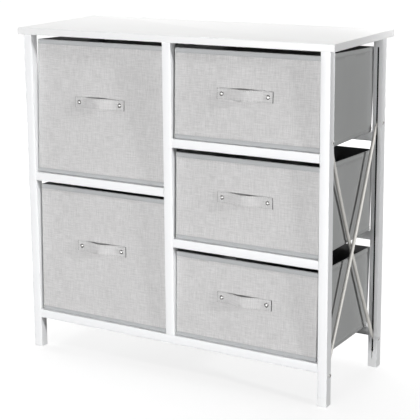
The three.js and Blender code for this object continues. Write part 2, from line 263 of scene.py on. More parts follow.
class Effects:
    """Shader groups that more than one finish uses, each built once."""

    @staticmethod
    def _start(
        name: str,
        inputs: dict[str, float],
        outputs: Iterable[str],
    ) -> tuple[NodeDesk, bpy.types.NodeOutputs, bpy.types.NodeInputs]:
        """Begins a group with its sockets.

        Args:
            name: The group's name.
            inputs: Default of each float input after the vector, by its name.
            outputs: Names of the float outputs.

        Returns:
            The desk, what the group is given and what it has to give.
        """
        tree = bpy.data.node_groups.new(name, "ShaderNodeTree")
        socket = tree.interface.new_socket
        socket(name="Vector", in_out="INPUT", socket_type="NodeSocketVector")
        for title, default in inputs.items():
            made = socket(name=title, in_out="INPUT", socket_type="NodeSocketFloat")
            made.default_value = default
        for title in outputs:
            socket(name=title, in_out="OUTPUT", socket_type="NodeSocketFloat")
        desk = NodeDesk(tree)
        return desk, desk.add("NodeGroupInput").outputs, desk.add("NodeGroupOutput").inputs

    @classmethod
    @cache
    def grain(cls) -> bpy.types.NodeTree:
        """Fine unevenness with a broad drift, as on a coat of paint or a moulding.

        Returns:
            The group, with outputs Fine and Broad between 0 and 1.
        """
        desk, given, result = cls._start(
            "grain", {"Fine Scale": 900.0, "Broad Scale": 9.0}, ["Fine", "Broad"]
        )
        for title, detail in (("Fine", 3.0), ("Broad", 2.0)):
            value = desk.speckle(given["Vector"], given[f"{title} Scale"], detail, 0.55)
            desk.link(value, result[title])
        return desk.tree

    @classmethod
    @cache
    def edge_wear(cls) -> bpy.types.NodeTree:
        """A mask that is broken up along the rounded edges of a piece.

        Returns:
            The group, with output Mask between 0 and 1.
        """
        desk, given, result = cls._start(
            "edge_wear", {"Edge": 0.0, "Patch Scale": 60.0, "Amount": 0.5}, ["Mask"]
        )
        patches = desk.ramp(desk.speckle(given["Vector"], given["Patch Scale"], 4.0), -0.6, 1.6)
        worn = desk.maths("MULTIPLY", patches, given["Edge"], clamp=True)
        desk.link(desk.maths("MULTIPLY", worn, given["Amount"], clamp=True), result["Mask"])
        return desk.tree

    @classmethod
    @cache
    def weave(cls) -> bpy.types.NodeTree:
        """A plain weave with thick places in its threads, in the X and Z of its vector.

        Returns:
            The group, with outputs Height and Tone between 0 and 1.
        """
        desk, given, result = cls._start(
            "weave",
            {"Thread Pitch": 0.0009, "Slub Length": 0.03, "Slub Width": 0.0022},
            ["Height", "Tone"],
        )
        parts = desk.parts(given["Vector"])
        across = desk.maths("DIVIDE", parts["X"], given["Thread Pitch"])
        along = desk.maths("DIVIDE", parts["Z"], given["Thread Pitch"])
        warp, weft = (
            desk.maths("ABSOLUTE", desk.maths("SINE", desk.maths("MULTIPLY", way, math.pi)))
            for way in (across, along)
        )
        crossing = desk.maths("ADD", desk.maths("FLOOR", across), desk.maths("FLOOR", along))
        over = desk.maths("GREATER_THAN", desk.maths("PINGPONG", crossing, 1.0), 0.5)
        under = desk.maths("SUBTRACT", 1.0, over)
        height = desk.maths(
            "ADD", desk.maths("MULTIPLY", warp, over), desk.maths("MULTIPLY", weft, under)
        )
        slubs = []
        for wide, narrow in (("X", "Z"), ("Z", "X")):
            place = desk.vector(
                X=desk.maths("DIVIDE", parts[wide], given["Slub Length"]),
                Y=desk.maths("DIVIDE", parts[narrow], given["Slub Width"]),
            )
            slubs.append(desk.speckle(place, 1.0, 3.0, 0.7, "2D"))
        tone = desk.maths("MULTIPLY", desk.maths("ADD", slubs[0], slubs[1]), 0.5)
        desk.link(height, result["Height"])
        desk.link(desk.ramp(tone, -0.75, 1.75), result["Tone"])
        return desk.tree


@dataclass
class MaterialDesk(NodeDesk):
    """A material's node tree with its shader, and what the finishes have in common."""

    material: bpy.types.Material
    shader: bpy.types.Node

    @classmethod
    def start(cls, name: str, view_colour: Colour) -> "MaterialDesk":
        """Begins a material with a Principled BSDF.

        Args:
            name: The material's name.
            view_colour: Its plain colour.

        Returns:
            The desk for its nodes.
        """
        material = bpy.data.materials.new(name)
        material.use_nodes = True
        material.diffuse_color = (*view_colour, 1.0)
        tree = material.node_tree
        tree.nodes.clear()
        desk = cls(tree, material, tree.nodes.new("ShaderNodeBsdfPrincipled"))
        desk.feed(desk.add("ShaderNodeOutputMaterial"), Surface=desk.shader.outputs["BSDF"])
        return desk

    def coordinates(self, source: Coordinates = Coordinates.OBJECT) -> Socket:
        """Adds a Texture Coordinate node and gives its output."""
        return self.add("ShaderNodeTexCoord").outputs[source.value]

    def effect(self, tree: bpy.types.NodeTree, **values: object) -> bpy.types.NodeOutputs:
        """Places a shared effect.

        Args:
            tree: The group.
            values: Its inputs by name, with underscores for spaces, as numbers or sockets.

        Returns:
            The group's outputs.
        """
        return self.feed(self.add("ShaderNodeGroup", node_tree=tree), **values).outputs

    def grain(self, place: Socket, fine: float, broad: float) -> tuple[Socket, Socket]:
        """Places the shared grain.

        Args:
            place: Where it is looked up.
            fine: Scale of its fine unevenness.
            broad: Scale of its broad drift.

        Returns:
            The fine and the broad value.
        """
        made = self.effect(Effects.grain(), Vector=place, Fine_Scale=fine, Broad_Scale=broad)
        return made["Fine"], made["Broad"]

    def wear(self, place: Socket, patch: float, amount: float) -> Socket:
        """Places the shared edge wear.

        Args:
            place: Where it is looked up.
            patch: Scale of its patches.
            amount: How much of it counts.

        Returns:
            The mask.
        """
        made = self.effect(
            Effects.edge_wear(), Vector=place, Edge=self.edge(), Patch_Scale=patch, Amount=amount
        )
        return made["Mask"]

    def streaks(self, place: Socket, scale: Triple) -> Socket:
        """Adds noise with a scale of its own along each axis."""
        stretch = self.feed(self.add("ShaderNodeMapping"), Vector=place, Scale=scale)
        return self.speckle(stretch.outputs[0], 1.0, 2.0)

    def edge(self) -> Socket:
        """Reads the attribute that is 1 on the rounded edges of a piece, and on plated steel marks
        painted shade.
        """
        return self.add("ShaderNodeAttribute", attribute_name="edge").outputs["Fac"]

    def shade(self, **values: object) -> None:
        """Gives the shader some of its inputs, by name, with underscores for spaces."""
        self.feed(self.shader, **values)

    def tint(self, mask: Socket, first: Colour, second: Colour) -> None:
        """Colours the shader with two colours mixed by a mask."""
        self.shade(Base_Color=self.blend(mask, first, second))

    def roughen(self, value: Socket, low: float, high: float) -> None:
        """Gives the shader a roughness from low to high as a value goes from 0 to 1."""
        self.shade(Roughness=self.ramp(value, low, high))

    def bump(
        self,
        height: Socket,
        distance: float,
        strength: float = 1.0,
        before: Socket | None = None,
    ) -> Socket:
        """Adds a bump and feeds it to the shader.

        Args:
            height: The height.
            distance: What a height of 1 stands for, in metres.
            strength: How much of it counts.
            before: The normal of an earlier bump.

        Returns:
            The bumped normal.
        """
        node = self.add("ShaderNodeBump")
        self.feed(node, Strength=strength, Distance=distance, Height=height)
        if before is not None:
            self.feed(node, Normal=before)
        self.shade(Normal=node.outputs["Normal"])
        return node.outputs["Normal"]


# ---------------------------------------------------------------- finishes


@dataclass(frozen=True)
class Finish:
    """What every finish has: a name, a plain colour and nodes of its own."""

    name: str
    colour: Colour

    def paint(self, desk: MaterialDesk) -> None:
        """Adds the finish's own nodes.

        Args:
            desk: The desk of its material.
        """
        raise NotImplementedError

    def make(self) -> bpy.types.Material:
        """Builds the material.

        Returns:
            The material.
        """
        desk = MaterialDesk.start(self.name, self.colour)
        self.paint(desk)
        return desk.material


@dataclass(frozen=True)
class PowderCoat(Finish):
    """A satin powder coat with a fine orange peel, a little duller on its edges."""

    name: str = "white_powder_coat"
    colour: Colour = (0.87, 0.875, 0.885)
    edge_colour: Colour = (0.80, 0.81, 0.825)
    roughness: float = 0.44
    peel_scale: float = 520.0
    peel_depth: float = 0.00004
    edge_amount: float = 0.55

    def paint(self, desk: MaterialDesk) -> None:
        """Paints the peel, a broad drift and the duller edges.

        Args:
            desk: The desk of its material.
        """
        place = desk.coordinates()
        fine, broad = desk.grain(place, self.peel_scale, 7.0)
        worn = desk.wear(place, 45.0, self.edge_amount)
        mask = desk.maths("ADD", worn, desk.maths("MULTIPLY", broad, 0.35), clamp=True)
        desk.tint(mask, self.colour, self.edge_colour)
        rough = desk.ramp(broad, self.roughness - 0.05, self.roughness + 0.07)
        desk.shade(Roughness=desk.maths("MULTIPLY_ADD", worn, 0.1, rough))
        desk.bump(fine, self.peel_depth, 0.6)


@dataclass(frozen=True)
class RawSteelInPaintedShade(Finish):
    """The dull raw steel inside the posts and rails, coloured near black as painted shade of the
    tubes' insides, with darker random patches.
    """

    name: str = "bare_tube_steel"
    # Near black: painted shade for the insides, lower ends and seam lips of the tubes.
    colour: Colour = (0.012, 0.0115, 0.011)
    roughness: float = 0.75

    def paint(self, desk: MaterialDesk) -> None:
        """Paints darker random patches.

        Args:
            desk: The desk of its material.
        """
        fine, broad = desk.grain(desk.coordinates(), 300.0, 25.0)
        desk.tint(broad, self.colour, tinted(self.colour, 0.5))
        desk.shade(Specular_IOR_Level=0.15)
        desk.roughen(fine, self.roughness - 0.1, self.roughness + 0.15)
        desk.bump(fine, 0.00005, 0.5)


@dataclass(frozen=True)
class Laminate(Finish):
    """The board's smooth laminate, with the pearl of its surface film."""

    name: str = "white_laminate"
    colour: Colour = (0.885, 0.885, 0.88)
    drift_colour: Colour = (0.845, 0.845, 0.842)
    roughness: float = 0.36
    pearl_scale: float = 750.0

    def paint(self, desk: MaterialDesk) -> None:
        """Paints the pearl, a broad drift and the worn edges.

        Args:
            desk: The desk of its material.
        """
        place = desk.coordinates()
        fine, broad = desk.grain(place, self.pearl_scale, 4.0)
        worn = desk.wear(place, 25.0, 0.5)
        mask = desk.maths("ADD", worn, desk.maths("MULTIPLY", broad, 0.5), clamp=True)
        desk.tint(mask, self.colour, self.drift_colour)
        desk.roughen(fine, self.roughness - 0.04, self.roughness + 0.06)
        desk.bump(fine, 0.00002, 0.5)


@dataclass(frozen=True)
class EdgeBand(Finish):
    """The glued edge band of the board, with the glue line just under its top corner."""

    name: str = "white_edge_band"
    colour: Colour = (0.86, 0.862, 0.865)
    line_colour: Colour = (0.66, 0.66, 0.655)
    line_height: float = 0.7742
    line_width: float = 0.0003
    roughness: float = 0.4

    def paint(self, desk: MaterialDesk) -> None:
        """Paints the glue line and a faint drift.

        Args:
            desk: The desk of its material.
        """
        place = desk.coordinates()
        height = desk.parts(place)["Z"]
        away = desk.maths("ABSOLUTE", desk.maths("SUBTRACT", height, self.line_height))
        line = desk.maths("LESS_THAN", away, self.line_width / 2)
        fine, broad = desk.grain(place, 600.0, 5.0)
        mask = desk.maths("MAXIMUM", line, desk.maths("MULTIPLY", broad, 0.2), clamp=True)
        desk.tint(mask, self.colour, self.line_colour)
        desk.roughen(broad, self.roughness - 0.05, self.roughness + 0.08)
        desk.bump(fine, 0.00003, 0.5)


@dataclass(frozen=True)
class MouldedPlastic(Finish):
    """The feet's matte moulded plastic."""

    name: str = "white_moulded_plastic"
    colour: Colour = (0.86, 0.865, 0.87)
    scuff_colour: Colour = (0.68, 0.68, 0.67)
    roughness: float = 0.55

    def paint(self, desk: MaterialDesk) -> None:
        """Paints the moulded grain and the scuffed edges.

        Args:
            desk: The desk of its material.
        """
        place = desk.coordinates()
        fine, broad = desk.grain(place, 1100.0, 40.0)
        desk.tint(desk.wear(place, 120.0, 0.6), self.colour, self.scuff_colour)
        desk.roughen(broad, self.roughness - 0.06, self.roughness + 0.1)
        desk.bump(fine, 0.00005, 0.7)


@dataclass(frozen=True)
class PlatedSteel(Finish):
    """Drawn steel with a bright plating and fine lines along its length, tinted darker by a broad
    drift and by painted shade where the edge attribute marks it.
    """

    roughness: float
    dark_tone_and_painted_shade: Colour = (0.3, 0.295, 0.285)
    line_scale: Triple = (900.0, 900.0, 25.0)

    def paint(self, desk: MaterialDesk) -> None:
        """Paints the drawn lines, a drift and the recesses.

        Args:
            desk: The desk of its material.
        """
        place = desk.coordinates()
        lines = desk.streaks(place, self.line_scale)
        _, broad = desk.grain(place, 700.0, 30.0)
        shade = desk.maths("MULTIPLY", broad, 0.6)
        # The edge attribute tints towards the darker colour: painted shade in the bolts' sockets
        # and under their heads, a painted dark ring on the rivets, and half of it on the rods'
        # flattened ends.
        desk.tint(desk.maths("MAXIMUM", shade, desk.edge(), clamp=True), self.colour, self.dark_tone_and_painted_shade)
        desk.shade(Metallic=1.0)
        desk.roughen(lines, self.roughness - 0.08, self.roughness + 0.12)
        desk.bump(lines, 0.00003, 0.5)


@dataclass(frozen=True)
class LinenCloth(Finish):
    """Grey linen-look cloth: a plain weave of two-tone threads with thick and thin places."""

    colour: Colour = (0.745, 0.737, 0.737)
    source: Coordinates = Coordinates.OBJECT
    dark: Colour = (0.465, 0.461, 0.461)
    pitch: float = 0.0009
    depth: float = 0.00035
    roughness: float = 0.9

    def paint(self, desk: MaterialDesk) -> None:
        """Paints the weave with painted shade between its threads, its slubs and a broad drift.

        Args:
            desk: The desk of its material.
        """
        place = desk.coordinates(self.source)
        if self.source is Coordinates.UV:
            parts = desk.parts(place)
            place = desk.vector(X=parts["X"], Z=parts["Y"])
        weave = desk.effect(Effects.weave(), Vector=place, Thread_Pitch=self.pitch)
        height, slubs = weave["Height"], weave["Tone"]
        _, broad = desk.grain(place, 420.0, 11.0)
        # Darker between the threads: painted shade of the weave.
        painted_gap_shade = desk.maths("MULTIPLY", desk.maths("SUBTRACT", 1.0, height), 0.35)
        tone = desk.maths("MULTIPLY_ADD", slubs, 0.75, painted_gap_shade)
        drift = desk.maths("MULTIPLY_ADD", broad, 0.25, -0.12)
        desk.tint(desk.maths("ADD", tone, drift, clamp=True), self.colour, self.dark)
        desk.roughen(height, 1.0, self.roughness - 0.06)
        desk.shade(Specular_IOR_Level=0.2, Sheen_Weight=0.12, Sheen_Roughness=0.5)
        normal = desk.bump(slubs, self.depth * 0.5, 0.35)
        desk.bump(height, self.depth, 0.5, normal)


@dataclass(frozen=True)
class SmoothCloth(Finish):
    """Thin bonded cloth with pressed fibres, drawn tight over stiff board."""

    darkest: float = 0.86
    fibre_scale: float = 520.0
    depth: float = 0.00022
    crease: float = 0.0006
    crease_scale: Triple = (38.0, 38.0, 4.0)
    sheen: float = 0.15
    gloss: float = 0.1
    smooth: float = 0.82

    def paint(self, desk: MaterialDesk) -> None:
        """Paints the fibres, a mottle and soft upright creases.

        Args:
            desk: The desk of its material.
        """
        place = desk.coordinates()
        fine, broad = desk.grain(place, self.fibre_scale, 14.0)
        creases = desk.streaks(place, self.crease_scale)
        mottle = desk.maths("MULTIPLY_ADD", fine, 0.7, -0.1)
        mask = desk.maths("MULTIPLY_ADD", broad, 0.5, mottle, clamp=True)
        desk.tint(mask, self.colour, tinted(self.colour, self.darkest))
        desk.roughen(fine, self.smooth, self.smooth + 0.16)
        desk.shade(Specular_IOR_Level=self.gloss, Sheen_Weight=self.sheen, Sheen_Roughness=0.45)
        normal = desk.bump(creases, self.crease, 0.5)
        desk.bump(fine, self.depth, 0.45, normal)


@dataclass(frozen=True)
class SewingThread(Finish):
    """Twisted polyester thread, set darker to add painted shade along the hems' steps, with painted
    shade in the grooves of its twist.
    """

    name: str = "grey_thread"
    # Set darker so that the stitch rows add painted shade along the hems' steps.
    colour: Colour = (0.33, 0.33, 0.335)
    twist_scale: float = 2600.0

    def paint(self, desk: MaterialDesk) -> None:
        """Paints the twist, darker in its grooves as painted shade.

        Args:
            desk: The desk of its material.
        """
        node = desk.add("ShaderNodeTexWave", wave_type="BANDS", bands_direction="DIAGONAL")
        desk.feed(node, Vector=desk.coordinates(), Scale=self.twist_scale, Distortion=1.5)
        twist = node.outputs["Fac"]
        # Darker in the twist's grooves: painted shade.
        desk.tint(twist, tinted(self.colour, 0.75), self.colour)
        desk.roughen(twist, 0.75, 0.55)
        desk.shade(Sheen_Weight=0.2)
        desk.bump(twist, 0.00008, 0.5)


class Finishes:
    """Every finish of the dresser, made once."""

    def __init__(self) -> None:
        """Makes them."""
        self.coat = PowderCoat().make()
        self.raw_steel_painted_shade = RawSteelInPaintedShade().make()
        self.laminate = Laminate().make()
        self.edge_band = EdgeBand().make()
        self.plastic = MouldedPlastic().make()
        self.rod = PlatedSteel("plated_rod_steel", (0.56, 0.55, 0.525), 0.62).make()
        # The bolts' darker colour is painted shade in their sockets and under their heads.
        self.bolt = PlatedSteel(
            "plated_bolt_steel", (0.6, 0.6, 0.59), 0.28, (0.1, 0.1, 0.1)
        ).make()
        # The rivets' darker colour paints a dark ring of shade and reflection round the bright
        # dome.
        self.rivet = PlatedSteel(
            "polished_rivet_steel", (0.93, 0.93, 0.92), 0.3, (0.1, 0.098, 0.095)
        ).make()
        self.linen = LinenCloth("grey_linen").make()
        self.strap = LinenCloth("grey_linen_strap", source=Coordinates.UV).make()
        self.hem = SmoothCloth("grey_hem_tape", (0.495, 0.505, 0.515), crease=0.0003).make()
        self.side = SmoothCloth("grey_side_cloth", (0.52, 0.528, 0.525)).make()
        # The black liner's colour is lifted to dark grey, painted light for the drawers' shaded
        # insides; on the straps it is painted shade on their ends.
        self.lining_and_painted_light = SmoothCloth(
            "black_lining", (0.14, 0.14, 0.142), 0.7, sheen=0.1, gloss=0.6, smooth=0.5
        ).make()
        self.board_cloth = SmoothCloth(
            "black_board_cloth", (0.055, 0.055, 0.056), 0.7, sheen=0.08, gloss=0.4, smooth=0.6
        ).make()
        self.thread = SewingThread().make()


# ---------------------------------------------------------------- mesh helpers


def corners(name: str) -> tuple[Vector, Vector]:
    """The lowest and the highest corner of a CAD node.

    Args:
        name: The node.

    Returns:
        The two corners.
    """
    low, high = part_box(name)
    return Vector(low), Vector(high)


def add_to_scene(name: str, data: bpy.types.ID) -> bpy.types.Object:
    """Makes an object and links it to the scene.

    Args:
        name: Its name.
        data: Its mesh, light or camera.

    Returns:
        The object.
    """
    made = bpy.data.objects.new(name, data)
    bpy.context.scene.collection.objects.link(made)
    return made


def shade_faces(mesh: bpy.types.Mesh, sharp: float, outward: bool = False) -> None:
    """Shades a mesh smooth and marks the edges that stay sharp.

    Args:
        mesh: The mesh.
        sharp: Edges that turn more than this many degrees stay sharp.
        outward: Whether its faces are turned outward first.
    """
    solid = bmesh.new()
    solid.from_mesh(mesh)
    if outward:
        bmesh.ops.recalc_face_normals(solid, faces=solid.faces)
    for face in solid.faces:
        face.smooth = True
    limit = math.radians(sharp)
    for line in solid.edges:
        line.smooth = len(line.link_faces) == 2 and line.calc_face_angle(0.0) < limit
    solid.to_mesh(mesh)
    solid.free()


@dataclass
class Skin:
    """Collects the points and faces of one piece and makes its object."""

    points: list[Vector] = field(default_factory=list)
    edge_values: list[float] = field(default_factory=list)
    flat_places: list[tuple[float, float]] = field(default_factory=list)
    faces: list[tuple[int, ...]] = field(default_factory=list)
    slots: list[int] = field(default_factory=list)

    def loop(
        self,
        points: Iterable[Vector],
        edges: Iterable[float] | None = None,
        flats: Iterable[tuple[float, float]] | None = None,
    ) -> list[int]:
        """Adds a ring of points.

        Args:
            points: The points.
            edges: How much each lies on a rounded edge, 0 to 1; on plated steel, how much painted
                shade it takes.
            flats: Each one's place on the flat cloth, in metres.

        Returns:
            The points' numbers.
        """
        start = len(self.points)
        fresh = [Vector(point) for point in points]
        self.points.extend(fresh)
        self.edge_values.extend(edges if edges is not None else [0.0] * len(fresh))
        self.flat_places.extend(flats if flats is not None else [(0.0, 0.0)] * len(fresh))
        return list(range(start, start + len(fresh)))

    def level(self, plan: Plan, height: float, edges: Iterable[float] | None = None) -> list[int]:
        """Adds a ring of points that lie at one height.

        Args:
            plan: X and Y of each.
            height: Their Z.
            edges: How much each lies on a rounded edge, 0 to 1; on plated steel, how much painted
                shade it takes.

        Returns:
            The points' numbers.
        """
        return self.loop((Vector((x, y, height)) for x, y in plan), edges)

    def bridge(
        self,
        first: Sequence[int],
        second: Sequence[int],
        slot: int | Callable[[int], int] = 0,
        leave_out: int | None = None,
    ) -> None:
        """Joins two closed rings with quads.

        Args:
            first: One ring.
            second: The other, with as many points.
            slot: Material slot, or a function from the quad's number to it.
            leave_out: A quad that is left open.
        """
        count = len(first)
        for index in range(count):
            if index != leave_out:
                after = (index + 1) % count
                quad = (first[index], first[after], second[after], second[index])
                self.face(quad, slot(index) if callable(slot) else slot)

    def face(self, around: Sequence[int], slot: int = 0) -> None:
        """Adds one face, such as the end of a tube."""
        self.faces.append(tuple(around))
        self.slots.append(slot)

    def tube(self, rings: Sequence[Sequence[int]], slot: int = 0, ends: int = 0) -> None:
        """Joins each ring to the next and closes both ends.

        Args:
            rings: The rings, from one end to the other.
            slot: Material slot of the wall.
            ends: Material slot of the ends.
        """
        for first, second in zip(rings, rings[1:]):
            self.bridge(first, second, slot)
        self.face(rings[0], ends)
        self.face(rings[-1], ends)

    def make(
        self,
        name: str,
        materials: Sequence[bpy.types.Material],
        sharp: float = 38.0,
        cloth_map: bool = False,
    ) -> bpy.types.Object:
        """Makes the object, with its normals outward and its sharp edges marked.

        Args:
            name: The object's name.
            materials: Its material slots.
            sharp: Edges that turn more than this many degrees stay sharp.
            cloth_map: Whether the flat places become its UV map.

        Returns:
            The object, linked to the scene.
        """
        mesh = bpy.data.meshes.new(name)
        mesh.from_pydata([tuple(point) for point in self.points], [], self.faces)
        for material in materials:
            mesh.materials.append(material)
        mesh.polygons.foreach_set("material_index", self.slots)
        edge = mesh.attributes.new("edge", "FLOAT", "POINT")
        edge.data.foreach_set("value", self.edge_values)
        if cloth_map:
            layer = mesh.uv_layers.new(name="cloth")
            for corner in mesh.loops:
                layer.data[corner.index].uv = self.flat_places[corner.vertex_index]
        shade_faces(mesh, sharp, outward=True)
        mesh.update()
        return add_to_scene(name, mesh)


def rounded_rectangle(
    low: Sequence[float],
    high: Sequence[float],
    radius: float,
    steps: int = 3,
    inset: float = 0.0,
) -> tuple[list[tuple[float, float]], list[float]]:
    """A rectangle with rounded corners, anticlockwise from its lower left corner.

    Args:
        low: Lowest corner.
        high: Highest corner.
        radius: Corner radius.
        steps: Steps round each corner.
        inset: How far it lies inside the two corners.

    Returns:
        The points, and how much each lies on a rounded edge.
    """
    left, front = low[0] + inset, low[1] + inset
    right, rear = high[0] - inset, high[1] - inset
    centres = [
        (left + radius, front + radius, math.pi),
        (right - radius, front + radius, 1.5 * math.pi),
        (right - radius, rear - radius, 0.0),
        (left + radius, rear - radius, 0.5 * math.pi),
    ]
    points = []
    edges = []
    for across, along, start in centres:
        for step in range(steps + 1):
            angle = start + 0.5 * math.pi * step / steps
            points.append((across + radius * math.cos(angle), along + radius * math.sin(angle)))
            edges.append(0.0 if step in (0, steps) else 1.0)
    return points, edges


def circle(radius: float, sides: int) -> list[tuple[float, float]]:
    """A circle round the origin, anticlockwise.

    Args:
        radius: Its radius.
        sides: How many points it has.

    Returns:
        The points.
    """
    angles = [2 * math.pi * side / sides for side in range(sides)]
    return [(radius * math.cos(angle), radius * math.sin(angle)) for angle in angles]


def turned(profile: Sequence[Triple], sides: int, skin: Skin) -> list[list[int]]:
    """Turns an outline round Z, as rings that are still to be joined.

    Args:
        profile: Radius and height of each ring, from the shank's end to the head's face, and
        how much painted shade darkens it.
        sides: Sides of each ring.
        skin: Where the rings are added.

    Returns:
        The rings.
    """
    return [
        skin.level(circle(radius, sides), height, [dark_tone_and_painted_shade] * sides)
        for radius, height, dark_tone_and_painted_shade in profile
    ]


@dataclass(frozen=True)
class Piece:
    """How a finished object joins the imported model."""

    body: str
    slot: str
    replaces: tuple[str, ...] = ()

    def join(self, made: bpy.types.Object) -> bpy.types.Object:
        """Lets the object ride on its body and stand for its nodes.

        Args:
            made: The object.

        Returns:
            The same object.
        """
        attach(made, self.body)
        if self.replaces:
            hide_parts(*self.replaces)
        log.info("%s: %d faces, rides on %s", made.name, len(made.data.polygons), self.body)
        return made


# ---------------------------------------------------------------- repeated small pieces


@dataclass
class Repeater:
    """Sets a small piece at many places with Geometry Nodes."""

    desk: NodeDesk
    given: bpy.types.NodeOutputs
    sockets: dict[str, str]

    @classmethod
    def _start(cls, name: str, inputs: dict[str, str]) -> "Repeater":
        """Begins a tree with its sockets. Every tree has the inputs Seed and Finish.

        Args:
            name: The tree's name.
            inputs: Kind of each other input after the places, by its name.

        Returns:
            The repeater, its tree still without an output.
        """
        tree = bpy.data.node_groups.new(name, "GeometryNodeTree")
        tree.is_modifier = True
        socket = tree.interface.new_socket
        socket(name="Places", in_out="INPUT", socket_type="NodeSocketGeometry")
        sockets = {}
        for title, kind in {**inputs, "Seed": "Int", "Finish": "Material"}.items():
            made = socket(name=title, in_out="INPUT", socket_type=f"NodeSocket{kind}")
            sockets[title] = made.identifier
        socket(name="Geometry", in_out="OUTPUT", socket_type="NodeSocketGeometry")
        desk = NodeDesk(tree)
        return cls(desk, desk.add("NodeGroupInput").outputs, sockets)

    def _turn(self, second: object) -> Socket:
        """Turns a piece's Z to the outward direction of its place.

        Args:
            second: The direction that its X turns to as far as it can, or a socket for it.

        Returns:
            The rotation.
        """
        outward = self.desk.add("GeometryNodeInputNamedAttribute", data_type="FLOAT_VECTOR")
        outward.inputs["Name"].default_value = "outward"
        turn = self.desk.add("FunctionNodeAxesToRotation", primary_axis="Z", secondary_axis="X")
        self.desk.link(outward.outputs["Attribute"], turn.inputs[0])
        self.desk.give(second, turn.inputs[1])
        return turn.outputs[0]

    def _chance(self, low: object, high: object) -> Socket:
        """Draws a number for each place with the tree's seed.

        Args:
            low: Lowest number, or a socket for it.
            high: Highest number, or a socket for it.

        Returns:
            The number.
        """
        node = self.desk.feed(
            self.desk.add("FunctionNodeRandomValue", data_type="FLOAT"), Seed=self.given["Seed"]
        )
        floats = [socket for socket in node.inputs if socket.type == "VALUE"]
        self.desk.give(low, floats[0])
        self.desk.give(high, floats[1])
        return next(socket for socket in node.outputs if socket.type == "VALUE")

    def _end(
        self, points: Socket, instance: Socket, rotation: Socket, scale: Socket
    ) -> "Repeater":
        """Ends the tree with Instance on Points, Realize Instances and Set Material.

        Args:
            points: The places.
            instance: The small piece.
            rotation: How each is turned.
            scale: How large each is.

        Returns:
            The same repeater.
        """
        placed = self.desk.add("GeometryNodeInstanceOnPoints")
        self.desk.feed(placed, Points=points, Instance=instance, Rotation=rotation, Scale=scale)
        real = self.desk.add("GeometryNodeRealizeInstances")
        self.desk.link(placed.outputs[0], real.inputs[0])
        coloured = self.desk.add("GeometryNodeSetMaterial")
        self.desk.feed(coloured, Geometry=real.outputs[0], Material=self.given["Finish"])
        self.desk.link(coloured.outputs[0], self.desk.add("NodeGroupOutput").inputs[0])
        return self

    @classmethod
    def stitching(cls) -> "Repeater":
        """A tree that sews a row of stitches along the edges of its input.

        Returns:
            The repeater.
        """
        names = ("Stitch Pitch", "Stitch Length", "Thread Width", "Unevenness")
        made = cls._start("stitch_rows", {name: "Float" for name in names})
        desk, given = made.desk, made.given
        rows = desk.feed(desk.add("GeometryNodeMeshToCurve"), Mesh=given["Places"])
        spaced = desk.add("GeometryNodeResampleCurve", mode="LENGTH")
        desk.feed(spaced, Curve=rows.outputs[0], Length=given["Stitch Pitch"])
        bead = desk.feed(desk.add("GeometryNodeMeshUVSphere"), Segments=6, Rings=4, Radius=0.5)
        width = given["Thread Width"]
        size = desk.vector(X=given["Stitch Length"], Y=width, Z=width)
        formed = desk.add("GeometryNodeTransform")
        desk.feed(formed, Geometry=bead.outputs["Mesh"], Scale=size)
        turn = made._turn(desk.add("GeometryNodeInputTangent").outputs[0])
        uneven = made._chance(
            desk.maths("SUBTRACT", 1.0, given["Unevenness"]),
            desk.maths("ADD", 1.0, given["Unevenness"]),
        )
        return made._end(spaced.outputs[0], formed.outputs[0], turn, uneven)

    @classmethod
    def fastening(cls) -> "Repeater":
        """A tree that sets a copy of a turned fastener at each point of its input.

        Returns:
            The repeater.
        """
        kinds = {"Fastener": "Object", "Size": "Float", "Spin": "Float"}
        made = cls._start("fastener_places", kinds)
        desk, given = made.desk, made.given
        model = desk.add("GeometryNodeObjectInfo", transform_space="ORIGINAL")
        desk.feed(model, Object=given["Fastener"])
        about = desk.add("FunctionNodeEulerToRotation")
        desk.link(desk.vector(Z=made._chance(0.0, given["Spin"])), about.inputs[0])
        spun = desk.add("FunctionNodeRotateRotation", rotation_space="LOCAL")
        desk.feed(spun, Rotation=made._turn((0.0, 0.0, 1.0)), Rotate_By=about.outputs[0])
        return made._end(given["Places"], model.outputs["Geometry"], spun.outputs[0], given["Size"])

    def run(
        self,
        name: str,
        rows: Sequence[Sequence[Spot]],
        values: dict[str, object],
        closed: bool = False,
    ) -> bpy.types.Object:
        """Runs the tree on rows of places and makes the result a plain mesh.

        Args:
            name: The new object's name.
            rows: Rows of places, each a point and its outward direction.
            values: The tree's inputs by name.
            closed: Whether each row is a ring.

        Returns:
            The object.
        """
        points: list[Vector] = []
        outward: list[float] = []
        edges: list[tuple[int, int]] = []
        for row in rows:
            start = len(points)
            for point, direction in row:
                points.append(point)
                outward.extend(direction)
            edges.extend((start + step, start + step + 1) for step in range(len(row) - 1))
            if closed:
                edges.append((start + len(row) - 1, start))
        mesh = bpy.data.meshes.new(f"{name}_places")
        mesh.from_pydata([tuple(point) for point in points], edges, [])
        mesh.attributes.new("outward", "FLOAT_VECTOR", "POINT").data.foreach_set("vector", outward)
        holder = add_to_scene(f"{name}_places", mesh)
        modifier = holder.modifiers.new("places", "NODES")
        modifier.node_group = self.desk.tree
        for title, value in values.items():
            modifier[self.sockets[title]] = value
        graph = bpy.context.evaluated_depsgraph_get()
        result = bpy.data.meshes.new_from_object(holder.evaluated_get(graph), depsgraph=graph)
        result.name = name
        holder.modifiers.remove(modifier)
        bpy.data.objects.remove(holder)
        bpy.data.meshes.remove(mesh)
        result.shade_smooth()
        return add_to_scene(name, result)

